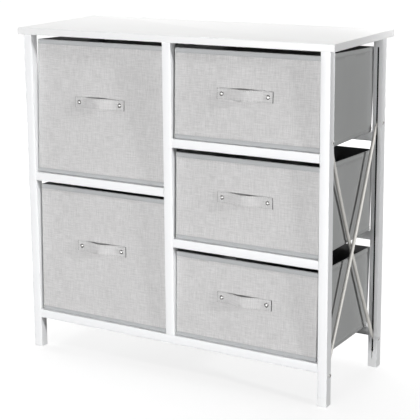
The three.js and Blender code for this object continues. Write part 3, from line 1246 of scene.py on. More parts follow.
    def fasten(
        self,
        name: str,
        model: bpy.types.Object,
        places: Sequence[Spot],
        spin: float,
        seed: int,
        sharp: float,
    ) -> bpy.types.Object:
        """Sets a copy of a fastener at each place and removes the one it was given.

        Args:
            name: The new object's name.
            model: The fastener, along Z.
            places: The places.
            spin: How far each may be turned about itself, in radians.
            seed: Seed of those turns.
            sharp: Edges that turn more than this many degrees stay sharp.

        Returns:
            The object.
        """
        finish = model.data.materials[0]
        values = {"Fastener": model, "Size": 1.0, "Spin": spin, "Seed": seed, "Finish": finish}
        made = self.run(name, [[place] for place in places], values)
        bpy.data.objects.remove(model)
        shade_faces(made.data, sharp)
        return made


# ---------------------------------------------------------------- the steel frame


@dataclass
class Posts:
    """The six square posts. The corner posts have an open seam and a closed top."""

    finishes: Finishes
    wall: float = 1.5 * MM
    corner_radius: float = 1.2 * MM
    inner_radius: float = 0.4 * MM
    seam_width: float = 3.6 * MM
    closed_top: float = 21 * MM

    def _section(
        self,
        low: Vector,
        high: Vector,
        inset: float,
        radius: float,
        seam: int,
    ) -> tuple[Plan, list[float]]:
        """One wall surface of a post in plan, from one lip of its seam round to the other.

        Args:
            low: The post's lowest corner.
            high: Its highest corner.
            inset: How far the surface lies inside the post's outside.
            radius: Its corner radius.
            seam: Sign along Y of the face with the seam, or 0 for no seam.

        Returns:
            The points and their edge values.
        """
        points, edges = rounded_rectangle(low.xy, high.xy, radius, inset=inset)
        if seam == 0:
            return points, edges
        steps = len(points) // 4
        start = steps if seam < 0 else 3 * steps
        points = points[start:] + points[:start]
        edges = edges[start:] + edges[:start]
        middle = (low.x + high.x) / 2
        face = low.y + inset if seam < 0 else high.y - inset
        half = -seam * self.seam_width / 2
        return [(middle + half, face), *points, (middle - half, face)], [0.0, *edges, 0.0]

    def build(self, name: str, place: Place, hand: Hand | None) -> bpy.types.Object:
        """Builds one post.

        Args:
            name: Its CAD node.
            place: Front or rear.
            hand: Its end, or None for a middle post.

        Returns:
            The object.
        """
        low, high = corners(name)
        seam = -place.value if hand is not None else 0
        outer, outer_edges = self._section(low, high, 0.0, self.corner_radius, seam)
        inner, _ = self._section(low, high, self.wall, self.inner_radius, seam)
        gap = len(outer) - 1 if seam else None
        seam_top = high.z - self.closed_top
        skin = Skin()
        outside = [skin.level(outer, z, outer_edges) for z in (low.z, seam_top, high.z)]
        inside = [skin.level(inner, z) for z in (low.z, seam_top, high.z - self.wall)]
        # Slot 1, the near-black raw steel, is painted shade: it covers the tube's inside, its lower
        # end and the seam's cut lips.
        for slot, rings in enumerate((outside, inside)):
            skin.bridge(rings[0], rings[1], slot, gap)
            skin.bridge(rings[1], rings[2], slot)
            skin.face(rings[2], slot)
        skin.bridge(outside[0], inside[0], 1, gap)
        if gap is not None:
            for lip in (0, gap):
                skin.face((outside[0][lip], outside[1][lip], inside[1][lip], inside[0][lip]), 1)
            skin.face((outside[1][gap], outside[1][0], inside[1][0], inside[1][gap]), 0)
        return skin.make(f"{name}_tube", [self.finishes.coat, self.finishes.raw_steel_painted_shade])

    def build_all(self) -> None:
        """Builds the six posts."""
        for place in Place:
            for hand in (*Hand, None):
                word = hand.name.lower() if hand is not None else "middle"
                name = f"post_{place.name.lower()}_{word}"
                Piece("frame", "white_steel", (name,)).join(self.build(name, place, hand))


@dataclass
class Rails:
    """The eight square rails between the posts."""

    finishes: Finishes
    names: tuple[str, ...] = ("bottom", "left_middle", "right_upper", "right_lower")
    wall: float = 1.2 * MM
    corner_radius: float = 1.2 * MM
    inner_radius: float = 0.4 * MM

    def build(self, name: str) -> bpy.types.Object:
        """Builds one rail, open at both ends.

        Args:
            name: Its CAD node.

        Returns:
            The object.
        """
        low, high = corners(name)
        outer, outer_edges = rounded_rectangle(low.yz, high.yz, self.corner_radius)
        inner, _ = rounded_rectangle(low.yz, high.yz, self.inner_radius, inset=self.wall)
        skin = Skin()
        outside, inside = (
            [skin.loop((Vector((x, y, z)) for y, z in plan), edges) for x in (low.x, high.x)]
            for plan, edges in ((outer, outer_edges), (inner, None))
        )
        skin.bridge(outside[0], outside[1], 0)
        # The inside takes the near-black raw steel, painted shade.
        skin.bridge(inside[0], inside[1], 1)
        skin.bridge(outside[0], inside[0], 0)
        skin.bridge(outside[1], inside[1], 0)
        return skin.make(f"{name}_tube", [self.finishes.coat, self.finishes.raw_steel_painted_shade])

    def build_all(self) -> None:
        """Builds the rails of the front and the rear."""
        for place in Place:
            for word in self.names:
                name = f"rail_{place.name.lower()}_{word}"
                Piece("frame", "white_steel", (name,)).join(self.build(name))


@dataclass
class Feet:
    """The four plastic feet, each a block with eased edges and a spigot up into its post."""

    finishes: Finishes
    block_height: float = 21 * MM
    corner_radius: float = 1.2 * MM
    least_radius: float = 0.4 * MM
    floor_ease: float = 0.7 * MM
    joint_ease: float = 0.45 * MM
    spigot_inset: float = 1.8 * MM
    spigot_lead: float = 1.0 * MM

    def build(self, name: str) -> bpy.types.Object:
        """Builds one foot.

        Args:
            name: Its CAD node.

        Returns:
            The object.
        """
        low, high = corners(name)
        top = low.z + self.block_height
        levels = [
            (low.z, self.floor_ease, 1.0),
            (low.z + self.floor_ease, 0.0, 0.0),
            (top - self.joint_ease, 0.0, 0.0),
            (top, self.joint_ease, 1.0),
            (top, self.spigot_inset, 0.0),
            (high.z - self.spigot_lead, self.spigot_inset, 0.0),
            (high.z, self.spigot_inset + self.spigot_lead, 0.0),
        ]
        skin = Skin()
        rings = []
        for height, inset, worn in levels:
            radius = max(self.corner_radius - inset, self.least_radius)
            plan, edges = rounded_rectangle(low.xy, high.xy, radius, inset=inset)
            rings.append(skin.level(plan, height, [max(worn, value) for value in edges]))
        skin.tube(rings)
        return skin.make(f"{name}_block", [self.finishes.plastic])

    def build_all(self) -> None:
        """Builds the four feet."""
        for place in Place:
            for hand in Hand:
                name = f"foot_{place.name.lower()}_{hand.name.lower()}"
                Piece("frame", "white_plastic", (name,)).join(self.build(name))


@dataclass
class TopBoard:
    """The laminated board with a band glued round its edge."""

    finishes: Finishes
    corner_radius: float = 1.6 * MM
    ease: float = 0.9 * MM
    steps: int = 3

    def build(self) -> bpy.types.Object:
        """Builds the board.

        Returns:
            The object.
        """
        low, high = corners("top_board")
        skin = Skin()
        rings = []
        for upward in (False, True):
            for step in range(self.steps + 1):
                share = step / self.steps if upward else 1 - step / self.steps
                angle = 0.5 * math.pi * share
                inset = self.ease * (1 - math.cos(angle))
                rise = self.ease * (1 - math.sin(angle))
                height = high.z - rise if upward else low.z + rise
                radius = self.corner_radius - inset * 0.5
                plan, _ = rounded_rectangle(low.xy, high.xy, radius, 4, inset)
                worn = 1.0 if 0 < share < 1 else 0.0
                rings.append(skin.level(plan, height, [worn] * len(plan)))
        skin.tube(rings, 1)
        made = skin.make("top_board_laminated", [self.finishes.laminate, self.finishes.edge_band])
        return Piece("frame", "white_board", ("top_board",)).join(made)


# ---------------------------------------------------------------- brace rods and bolts


@dataclass
class BraceRods:
    """Two crossing rods at each end, round in the middle and pressed flat at their bolts."""

    finishes: Finishes
    rod_radius: float = 4 * MM
    eye_half_width: float = 4.5 * MM
    eye_half_thickness: float = 1.3 * MM
    eye_reach: float = 2.1  # length of the flat eye, in half widths
    neck_length: float = 8 * MM
    flatten_length: float = 20 * MM
    squareness: float = 0.55
    bow_inner: float = -5.5 * MM
    bow_outer: float = 2.9 * MM
    plane: float = 377 * MM
    end_y: tuple[float, float] = (-120 * MM, 117 * MM)
    end_z: tuple[float, float] = (83 * MM, 561 * MM)
    round_end: tuple[float, ...] = (0.0, 0.34, 0.64, 0.87, 0.985)
    sides: int = 16
    steps: int = 40

    def _path(self, hand: Hand, top: Place, bow: float) -> list[Vector]:
        """The rod's middle line, from beyond its top bolt to beyond its low bolt.

        Args:
            hand: The end of the dresser.
            top: Where its top is.
            bow: How far it bows outward half way.

        Returns:
            The points of the line.
        """
        near, far = (0, 1) if top is Place.FRONT else (1, 0)
        side = hand.value
        top_bolt = Vector((side * self.plane, BOLT_Y[near], BOLT_Z[1]))
        low_bolt = Vector((side * self.plane, BOLT_Y[far], BOLT_Z[0]))
        line = []
        for step in range(self.steps + 1):
            share = step / self.steps
            line.append(Vector((
                side * (self.plane + bow * math.sin(math.pi * share)),
                self.end_y[near] + (self.end_y[far] - self.end_y[near]) * share,
                self.end_z[1] + (self.end_z[0] - self.end_z[1]) * share,
            )))
        top_way = (top_bolt - line[0]).normalized()
        low_way = (low_bolt - line[-1]).normalized()
        reach = self.eye_half_width
        head = [top_bolt + top_way * reach * share for share in reversed(self.round_end)]
        tail = [low_bolt + low_way * reach * share for share in self.round_end]
        return [*head, (top_bolt + line[0]) / 2, *line, (line[-1] + low_bolt) / 2, *tail]

    def _section(self, from_end: float) -> tuple[float, float, float]:
        """The rod's section at a distance from its nearer end.

        Args:
            from_end: The distance.

        Returns:
            Half its width, half its thickness and how flat it is, 0 to 1.
        """
        reach = self.eye_half_width
        flat_until = self.eye_reach * reach + self.neck_length
        flat = 1.0 - min(max((from_end - flat_until) / self.flatten_length, 0.0), 1.0)
        flat = flat * flat * (3 - 2 * flat)
        half_width = self.rod_radius + (reach - self.rod_radius) * flat
        half_thick = self.rod_radius + (self.eye_half_thickness - self.rod_radius) * flat
        if from_end < reach:
            half_width *= math.sqrt(max(1 - ((reach - from_end) / reach) ** 2, 0.02))
        return half_width, half_thick, flat

    def build(self, name: str, hand: Hand, top: Place, bow: float) -> bpy.types.Object:
        """Sweeps one rod.

        Args:
            name: Its CAD node.
            hand: The end of the dresser.
            top: Where its top is.
            bow: How far it bows outward half way.

        Returns:
            The object.
        """
        path = self._path(hand, top, bow)
        lengths = [0.0]
        for first, second in zip(path, path[1:]):
            lengths.append(lengths[-1] + (second - first).length)
        skin = Skin()
        rings = []
        for index, point in enumerate(path):
            before = path[max(index - 1, 0)]
            after = path[min(index + 1, len(path) - 1)]
            along = (after - before).normalized()
            thick = Vector((1.0, 0.0, 0.0))
            thick = (thick - along * thick.dot(along)).normalized()
            wide = along.cross(thick)
            from_end = min(lengths[index], lengths[-1] - lengths[index])
            half_width, half_thick, flat = self._section(from_end)
            power = 1.0 - self.squareness * flat
            ring = []
            for side in range(self.sides):
                angle = 2 * math.pi * (side + 0.5) / self.sides
                cosine, sine = math.cos(angle), math.sin(angle)
                across = math.copysign(abs(cosine) ** power, cosine) * half_width
                through = math.copysign(abs(sine) ** power, sine) * half_thick
                ring.append(point + wide * across + thick * through)
            # The flattened ends take half of the rod's darker colour.
            rings.append(skin.loop(ring, [flat * 0.5] * len(ring)))
        skin.tube(rings)
        return skin.make(f"{name}_bar", [self.finishes.rod], sharp=50.0)

    def build_all(self) -> None:
        """Builds the four rods."""
        for hand in Hand:
            for word, top, bow in (
                ("inner", Place.FRONT, self.bow_inner),
                ("outer", Place.REAR, self.bow_outer),
            ):
                name = f"brace_rod_{hand.name.lower()}_{word}"
                made = self.build(name, hand, top, bow)
                Piece("frame", "bright_steel", (name,)).join(made)


@dataclass
class BraceBolts:
    """The eight bolts that hold the rods, with rounded heads and hexagon sockets."""

    finishes: Finishes
    fastening: Repeater
    head_radius: float = 4.75 * MM
    head_height: float = 1.8 * MM
    head_gap: float = 0.05 * MM
    crown: float = 0.7 * MM
    shank_radius: float = 2.5 * MM
    shank_length: float = 21.4 * MM
    socket_width: float = 3.6 * MM
    socket_depth: float = 1.1 * MM
    outside: float = 388 * MM
    sides: int = 24

    def _hexagon(self) -> Plan:
        """The outline of the socket, with as many points as the head's rings.

        Returns:
            The points.
        """
        corner = self.socket_width / math.sqrt(3)
        hexagon = []
        for side in range(self.sides):
            angle = 2 * math.pi * side / self.sides
            within = (angle + math.pi / 6) % (math.pi / 3) - math.pi / 6
            radius = corner * math.cos(math.pi / 6) / math.cos(within)
            hexagon.append((radius * math.cos(angle), radius * math.sin(angle)))
        return hexagon

    def _model(self) -> bpy.types.Object:
        """Makes one bolt along Z, its head's seat at zero.

        Returns:
            The object.
        """
        skin = Skin()
        seat = self.head_gap
        face = seat + self.head_height
        rim = self.head_radius
        # The third value of each ring is how much painted shade darkens it: partly under the head
        # and fully in the socket.
        profile = [
            (self.shank_radius * 0.8, -self.shank_length, 0.0),
            (self.shank_radius, -self.shank_length + 0.5 * MM, 0.0),
            (self.shank_radius, seat, 0.6),
            (rim - 0.2 * MM, seat, 0.6),
            (rim, seat + 0.25 * MM, 0.2),
        ]
        for step in range(5):
            angle = 0.5 * math.pi * step / 4
            radius = rim - self.crown * (1 - math.cos(angle)) * 1.6
            profile.append((radius, face - self.crown * (1 - math.sin(angle)), 0.0))
        rings = turned(profile, self.sides, skin)
        for height in (face, face - self.socket_depth):
            rings.append(skin.level(self._hexagon(), height, [1.0] * self.sides))
        skin.tube(rings)
        return skin.make("bolt_model", [self.finishes.bolt])

    def build(self) -> bpy.types.Object:
        """Sets the eight bolts with Geometry Nodes.

        Returns:
            The object.
        """
        names = []
        places = []
        for place, depth in zip(Place, BOLT_Y):
            for hand in Hand:
                for word, height in zip(("low", "top"), BOLT_Z):
                    names.append(f"brace_bolt_{place.name.lower()}_{hand.name.lower()}_{word}")
                    outward = Vector((float(hand.value), 0.0, 0.0))
                    places.append((Vector((hand.value * self.outside, depth, height)), outward))
        made = self.fastening.fasten(
            "brace_bolts", self._model(), places, spin=math.pi, seed=7, sharp=38.0
        )
        return Piece("frame", "bright_steel", tuple(names)).join(made)


# ---------------------------------------------------------------- fabric drawers


@dataclass(frozen=True)
class PlanPoint:
    """A point of a drawer's outline seen from above."""

    across: float
    share: float
    outward: tuple[float, float]
    wall: Wall
    along: float


Measure = Callable[[PlanPoint], float]


@dataclass
class Drawer:
    """One sewn drawer with its handle strap, rivets, base board and stitching."""

    name: str
    slope: float
    strap_rise: float
    seed: int
    finishes: Finishes
    stitching: Repeater
    fastening: Repeater
    trim: float = 0.0
    rear_splay: float = 0.0
    left_fill: float = 0.0
    rear_drop: float = 10.5 * MM
    rear_reach: float = 1.8 * MM
    bulge: float = 1.1 * MM
    room_share: float = 0.75  # how much of the room beside it the bulge may take up
    end_rise: float = 12.0  # the bulge is whole from 1/12 of a wall's length on
    front_sink: float = -0.45  # this and the ripples are in millimetres, broad and fine
    front_ripple: tuple[float, float] = (0.25, 0.12)
    side_ripple: tuple[float, float] = (0.75, 0.45)
    broad_waves: tuple[float, float] = (5.0, 2.0)  # noise along a wall and up it
    fine_waves: tuple[float, float] = (17.0, 3.0)
    side_wall: float = 3 * MM
    front_wall: float = 5 * MM
    floor: float = 2 * MM
    corner_radius: float = 3 * MM
    hem: float = 10.5 * MM
    hem_lift: float = 0.55 * MM
    hem_step: float = 0.35 * MM
    rim_ease: float = 1.1 * MM
    foot_ease: float = 1.8 * MM
    cell: float = 6.5 * MM
    board_ease: float = 0.8 * MM
    board_radius: float = 4 * MM
    stitch_inset: float = 8.7 * MM
    stitch_pitch: float = 4.2 * MM
    stitch_length: float = 3.1 * MM
    stitch_unevenness: float = 0.08
    thread_width: float = 0.55 * MM
    strap_length: float = 134 * MM
    strap_width: float = 25 * MM
    strap_thickness: float = 1.6 * MM
    strap_steps: int = 56
    seam_inset: float = 1.8 * MM
    strap_seat: float = 0.3 * MM
    strap_bow: float = 11 * MM
    bow_length: float = 88 * MM
    rivet_spacing: float = 110.5 * MM
    rivet_radius: float = 5.1 * MM
    rivet_sides: int = 24

    def __post_init__(self) -> None:
        """Reads the drawer's place from its CAD shell."""
        self.low, self.high = corners(f"{self.name}_shell")
        self.height = self.high.z - self.low.z + self.trim
        self.lean = math.tan(self.slope)
        self.origin = Vector(((self.low.x + self.high.x) / 2, self.low.y, self.low.z))
        self.up = Vector((0.0, math.sin(self.slope), math.cos(self.slope)))
        self.out = Vector((0.0, -math.cos(self.slope), math.sin(self.slope)))
        posts = [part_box(f"post_front_{word}") for word in ("left", "middle", "right")]
        self.room = {
            Wall.LEFT: min(self.low.x - high[0] for _, high in posts if high[0] < self.low.x)
            - self.left_fill,
            Wall.RIGHT: min(low[0] - self.high.x for low, _ in posts if low[0] > self.high.x),
        }

    # ---- the shell

    def _outline(self) -> list[PlanPoint]:
        """The drawer's outline in plan, anticlockwise from the front left corner.

        Returns:
            Its points, with the front edge at a share of 0 and the rear at 1.
        """
        width = self.high.x - self.low.x
        depth = self.high.y - self.low.y
        radius = self.corner_radius
        runs = [
            (Wall.FRONT, Vector((0, 0)), Vector((1, 0)), width, Vector((0, -1))),
            (Wall.RIGHT, Vector((width, 0)), Vector((0, 1)), depth, Vector((1, 0))),
            (Wall.REAR, Vector((width, depth)), Vector((-1, 0)), width, Vector((0, 1))),
            (Wall.LEFT, Vector((0, depth)), Vector((0, -1)), depth, Vector((-1, 0))),
        ]
        outline = []
        for wall, start, way, length, outward in runs:
            count = round((length - 2 * radius) / self.cell)
            for step in range(count + 1):
                along = radius + (length - 2 * radius) * step / count
                place = start + way * along
                outline.append(PlanPoint(
                    place.x, place.y / depth, tuple(outward), wall, along / length
                ))
            corner = start + way * length - way * radius - outward * radius
            for step in (1, 2):
                angle = 0.5 * math.pi * step / 3
                direction = outward * math.cos(angle) + way * math.sin(angle)
                place = corner + direction * radius
                outline.append(PlanPoint(place.x, place.y / depth, tuple(direction), wall, 1.0))
        return outline

    def _surface(self, point: PlanPoint, height: float, offset: float) -> Vector:
        """A point of the outside of the drawer.

        Args:
            point: Its place in plan.
            height: Its height above the drawer's lower edge.
            offset: How far outward it lies from the plain wall.

        Returns:
            The point.
        """
        reach = self.rear_reach + self.rear_splay * height / self.height
        depth = self.high.y - self.low.y + reach * point.share
        along = self.low.y + height * self.lean + point.share * depth
        beside = self.left_fill * max(0.0, -point.outward[0])
        return Vector((
            self.low.x + point.across - beside + point.outward[0] * offset,
            along + point.outward[1] * offset,
            self.low.z + height,
        ))

    def _top(self, point: PlanPoint) -> float:
        """The height of the drawer's rim above its lower edge at a place in plan."""
        return self.height - self.rear_drop * point.share

    def _ripple(self, point: PlanPoint, level: float) -> float:
        """How far the cloth stands off the plain wall.

        Args:
            point: Place in plan.
            level: 0 at the foot of the wall and 1 at its rim.

        Returns:
            The distance outward, in metres.
        """
        fade = math.sin(math.pi * min(max(level, 0.0), 1.0)) ** 0.5
        edge = min(1.0, self.end_rise * min(point.along, 1 - point.along))
        broad, fine = (
            noise.noise(Vector((point.along * waves[0], level * waves[1], depth)))
            for waves, depth in (
                (self.broad_waves, self.seed + len(point.wall.value)),
                (self.fine_waves, self.seed * 2.0),
            )
        )
        if point.wall is Wall.FRONT:
            ripple = self.front_ripple[0] * broad + self.front_ripple[1] * fine
            return (self.front_sink + ripple) * fade * edge * MM
        ripple = self.side_ripple[0] * broad + self.side_ripple[1] * fine
        if point.wall is Wall.REAR:
            return ripple * fade * edge * MM
        stand = self.bulge + ripple * MM
        return min(stand, self.room_share * self.room[point.wall]) * fade * edge

    def _zone(self, outline: Sequence[PlanPoint], front: int, other: int) -> Callable[[int], int]:
        """Chooses a material slot for each quad of a ring.

        Args:
            outline: The drawer's outline.
            front: Slot on the front wall.
            other: Slot on the other walls.

        Returns:
            A function from the quad's number to its slot.
        """
        return lambda index: front if outline[index].wall is Wall.FRONT else other

    def build_shell(self) -> bpy.types.Object:
        """Builds the sewn shell: linen front, smooth sides, hems and a black liner lifted to dark
        grey as painted light.

        Returns:
            The object.
        """
        outline = self._outline()
        skin = Skin()
        linen, side, tape, lining_and_painted_light = 0, 1, 2, 3
        hem_side = self._zone(outline, tape, side)
        body = self._zone(outline, linen, side)

        def fixed(value: float) -> Measure:
            """The same value at every point."""
            return lambda point: value

        def below_rim(value: float) -> Measure:
            """A height that lies a distance below the rim."""
            return lambda point: self._top(point) - value

        def between(low: float, less: float, share: float) -> Measure:
            """A height that goes a share of the rim's height, less a part, up from a low one."""
            return lambda point: low + (self._top(point) - less) * share

        def rippled(share: float) -> Measure:
            """How far the cloth stands off at a share of its height."""
            return lambda point: self._ripple(point, share)

        def inner(point: PlanPoint) -> float:
            """Where the inside lies, thicker behind the front."""
            front_share = max(0.0, -point.outward[1])
            return -(self.side_wall + (self.front_wall - self.side_wall) * front_share)

        hem, fold, lift = self.hem, self.hem_step, self.hem_lift
        ease, foot = self.rim_ease, self.foot_ease
        rows = [
            (fixed(0.0), fixed(-2 * foot), side),
            (fixed(0.12 * foot), fixed(-foot), side),
            (fixed(foot), fixed(lift * 0.6), hem_side),
            (fixed(hem - 2 * fold), fixed(lift), hem_side),
            (fixed(hem - fold), fixed(lift * 0.8), hem_side),
            (fixed(hem), fixed(0.0), hem_side),
        ]
        count = round((self.height - 2 * hem) / self.cell)
        for share in (step / count for step in range(1, count)):
            rows.append((between(hem, 2 * hem, share), rippled(share), body))
        rows += [
            (below_rim(hem), fixed(0.0), body),
            (below_rim(hem - fold), fixed(lift * 0.8), hem_side),
            (below_rim(hem - 2 * fold), fixed(lift), hem_side),
            (below_rim(ease), fixed(lift * 0.6), hem_side),
            (below_rim(0.3 * ease), fixed(-0.3 * ease), hem_side),
            (below_rim(0.0), fixed(-ease), hem_side),
            (below_rim(0.0), lambda point: inner(point) + ease, hem_side),
            (below_rim(0.4 * ease), lambda point: inner(point) + 0.2 * ease, hem_side),
            (below_rim(ease), inner, lining_and_painted_light),
        ]
        for share in (0.85, 0.6, 0.35, 0.1):
            rows.append((between(self.floor, self.floor, share), inner, lining_and_painted_light))
        rows.append((fixed(self.floor), inner, lining_and_painted_light))
        rings = [
            skin.loop(self._surface(point, height(point), offset(point)) for point in outline)
            for height, offset, _ in rows
        ]
        for first, second, (_, _, slot) in zip(rings, rings[1:], rows[1:]):
            skin.bridge(first, second, slot)
        skin.face(rings[0], side)
        skin.face(rings[-1], lining_and_painted_light)
        cloths = [self.finishes.linen, self.finishes.side, self.finishes.hem, self.finishes.lining_and_painted_light]
        made = skin.make(f"{self.name}_sewn_shell", cloths, sharp=55.0)
        return Piece(self.name, "grey_fabric", (f"{self.name}_shell",)).join(made)

    # ---- the base board

    def build_base_board(self) -> bpy.types.Object:
        """Builds the cloth-covered board on the drawer's floor.

        Returns:
            The object.
        """
        low, high = corners(f"{self.name}_base_board")
        ease = self.board_ease
        rounding = ((0.0, ease), (0.5 * ease, 0.3 * ease), (ease, 0.0))
        levels = [(low.z + rise, inset) for rise, inset in rounding]
        levels += [(high.z - rise, inset) for rise, inset in reversed(rounding)]
        skin = Skin()
        rings = []
        for height, inset in levels:
            plan, edges = rounded_rectangle(low.xy, high.xy, self.board_radius, 4, inset)
            rings.append(skin.level(plan, height, edges))
        skin.tube(rings)
        made = skin.make(f"{self.name}_covered_board", [self.finishes.board_cloth])
        return Piece(self.name, "black_board", (f"{self.name}_base_board",)).join(made)

    # ---- the handle strap

    def _on_strap(self, along: float, across: float, lift: float) -> Spot:
        """A place on the outside of the strap.

        Args:
            along: Distance from the strap's middle along X.
            across: Distance from its middle line, upward.
            lift: Height above the strap's back.

        Returns:
            The point, and the strap's outward direction there.
        """
        half = self.bow_length / 2
        bow = 0.0
        rise = 0.0
        if abs(along) < half:
            bow = self.strap_bow * (1 + math.cos(math.pi * along / half)) / 2
            rise = -self.strap_bow * math.pi / half * math.sin(math.pi * along / half) / 2
        outward = (self.out - Vector((1.0, 0.0, 0.0)) * rise).normalized()
        middle = self.origin + self.up * (self.strap_rise + across)
        point = middle + Vector((along, 0.0, 0.0)) + self.out * (self.strap_seat + bow)
        return point + outward * lift, outward

    def build_strap(self) -> bpy.types.Object:
        """Builds the handle strap, two layers of linen sewn together along their edges.

        Returns:
            The object.
        """
        half = self.strap_width / 2
        thick = self.strap_thickness
        seam = half - self.seam_inset
        upper = [
            (half - 0.9 * thick, 0.0, 0.0),
            (half - 0.25 * thick, 0.08 * thick, 0.5),
            (half, 0.5 * thick, 1.0),
            (half - 0.25 * thick, 0.92 * thick, 0.5),
            (seam + 0.55 * MM, thick, 0.0),
            (seam, thick - 0.22 * MM, 0.0),
            (seam - 0.6 * MM, thick, 0.0),
            (0.5 * half, 1.05 * thick, 0.0),
        ]
        lower = [(-across, lift, worn) for across, lift, worn in reversed(upper)]
        section = [*upper, (0.0, 1.07 * thick, 0.0), *lower]
        end = self.strap_length / 2
        tip = [end, end - 0.25 * MM, end - 0.9 * MM, end - 2.5 * MM]
        count = self.strap_steps
        span = 2 * end - 8 * MM
        middle = [-end + 4 * MM + span * step / count for step in range(count + 1)]
        stops = [*(-along for along in tip), *middle, *reversed(tip)]
        skin = Skin()
        rings = []
        travelled = 0.0
        last: Vector | None = None
        for index, along in enumerate(stops):
            from_end = min(index, len(stops) - 1 - index)
            squeeze = (0.35, 0.75, 1.0)[from_end] if from_end < 3 else 1.0
            core, _ = self._on_strap(along, 0.0, thick / 2)
            travelled += (core - last).length if last is not None else 0.0
            last = core
            ring = []
            for across, lift, _ in section:
                centred = (lift - thick / 2) * squeeze + thick / 2
                ring.append(self._on_strap(along, across, centred)[0])
            flats = [(travelled + self.seed * 0.1, across) for across, _, _ in section]
            rings.append(skin.loop(ring, [worn for _, _, worn in section], flats))
        # The two end bands and both end faces take the dark liner: painted shade on the strap's
        # ends.
        for index, (first, second) in enumerate(zip(rings, rings[1:])):
            shaded_end = min(index, len(rings) - 2 - index) < 2
            skin.bridge(first, second, int(shaded_end))
        skin.face(rings[0], 1)
        skin.face(rings[-1], 1)
        cloths = [self.finishes.strap, self.finishes.lining_and_painted_light]
        made = skin.make(f"{self.name}_handle_strap", cloths, sharp=50.0, cloth_map=True)
        return Piece(self.name, "grey_fabric", (f"{self.name}_strap",)).join(made)

    # ---- rivets

    def build_rivets(self) -> bpy.types.Object:
        """Sets the two rivets that hold the strap, with Geometry Nodes.

        Returns:
            The object.
        """
        skin = Skin()
        radius = self.rivet_radius
        inner_face = self.strap_seat + self.strap_thickness + self.front_wall
        # The third value is how much painted shade darkens each ring: a dark ring of shade and
        # reflection from under the head over the rim to the groove, less on the shank, none on the
        # dome.
        profile = [
            (4.0 * MM, -inner_face - 1.1 * MM, 0.2),
            (4.0 * MM, -inner_face - 0.1 * MM, 0.2),
            (2.0 * MM, -inner_face - 0.1 * MM, 0.5),
            (2.0 * MM, 0.0, 0.5),
            (radius - 0.3 * MM, 0.0, 1.0),
            (radius, 0.3 * MM, 1.0),
            (radius, 0.75 * MM, 0.95),
            (radius - 0.25 * MM, 1.15 * MM, 0.85),
            (radius - 0.9 * MM, 1.35 * MM, 0.9),
            (radius - 1.6 * MM, 1.2 * MM, 1.0),
            (radius - 2.2 * MM, 0.75 * MM, 1.0),
            (radius - 2.8 * MM, 0.7 * MM, 1.0),
            (radius - 3.1 * MM, 1.05 * MM, 0.2),
            (radius - 3.8 * MM, 1.4 * MM, 0.0),
            (radius - 4.8 * MM, 1.5 * MM, 0.0),
        ]
        skin.tube(turned(profile, self.rivet_sides, skin))
        model = skin.make("rivet_model", [self.finishes.rivet], sharp=60.0)
        places = [
            self._on_strap(side * self.rivet_spacing / 2, 0.0, self.strap_thickness)
            for side in (-1, 1)
        ]
        made = self.fastening.fasten(
            f"{self.name}_rivets", model, places, spin=2 * math.pi, seed=self.seed, sharp=60.0
        )
        nodes = (f"{self.name}_rivet_left", f"{self.name}_rivet_right")
        return Piece(self.name, "rivet_steel", nodes).join(made)

    # ---- stitches

    def _hem_rows(self) -> list[list[Spot]]:
        """The rings of stitches round the top and bottom hems.

        Returns:
            Two rings of places.
        """
        outline = self._outline()
        lift = self.hem_lift + 0.05 * MM
        rings = []
        for top in (False, True):
            ring = []
            for point in outline:
                height = self._top(point) - self.stitch_inset if top else self.stitch_inset
                outward = Vector((*point.outward, 0.0))
                ring.append((self._surface(point, height, lift), outward))
            rings.append(ring)
        return rings

    def _strap_rows(self) -> list[list[Spot]]:
        """The rings of stitches round the strap, near its edge.

        Returns:
            One ring of places.
        """
        seam = self.strap_width / 2 - self.seam_inset
        end = self.strap_length / 2 - self.seam_inset
        lift = self.strap_thickness - 0.1 * MM
        steps, rungs = 48, 6
        forth = [(-end + 2 * end * step / steps, -seam) for step in range(steps + 1)]
        rise = [(end, -seam + 2 * seam * step / rungs) for step in range(1, rungs)]
        back = [(-along, seam) for along, _ in forth]
        fall = [(-along, -across) for along, across in rise]
        around = forth + rise + back + fall
        return [[self._on_strap(along, across, lift) for along, across in around]]

    def build_stitches(self) -> bpy.types.Object:
        """Sews the hems and the strap, with Geometry Nodes.

        Returns:
            The object.
        """
        made = self.stitching.run(
            f"{self.name}_stitches",
            self._hem_rows() + self._strap_rows(),
            {
                "Stitch Pitch": self.stitch_pitch,
                "Stitch Length": self.stitch_length,
                "Thread Width": self.thread_width,
                "Unevenness": self.stitch_unevenness,
                "Seed": self.seed,
                "Finish": self.finishes.thread,
            },
            closed=True,
        )
        return Piece(self.name, "grey_fabric").join(made)

    def build_all(self) -> None:
        """Builds the whole drawer."""
        self.build_shell()
        self.build_base_board()
        self.build_strap()
        self.build_rivets()
        self.build_stitches()


# ---------------------------------------------------------------- studio


def heading(azimuth: float, elevation: float) -> Vector:
    """The direction from the dresser to a camera or a lamp.

    Args:
        azimuth: Angle from the front towards the right end, in radians.
        elevation: Angle above the floor, in radians.

    Returns:
        The direction, of length 1.
    """
    level = math.cos(elevation)
    return Vector((math.sin(azimuth) * level, -math.cos(azimuth) * level, math.sin(elevation)))


def hang(data: bpy.types.Light, way: Vector, spot: Vector) -> bpy.types.Object:
    """Adds a lamp to the scene.

    Args:
        data: The lamp.
        way: The direction from what it lights to the lamp.
        spot: Where it hangs.

    Returns:
        The lamp's object.
    """
    lamp = add_to_scene(data.name, data)
    lamp.location = spot
    lamp.rotation_euler = way.to_track_quat("Z", "Y").to_euler()
    return lamp


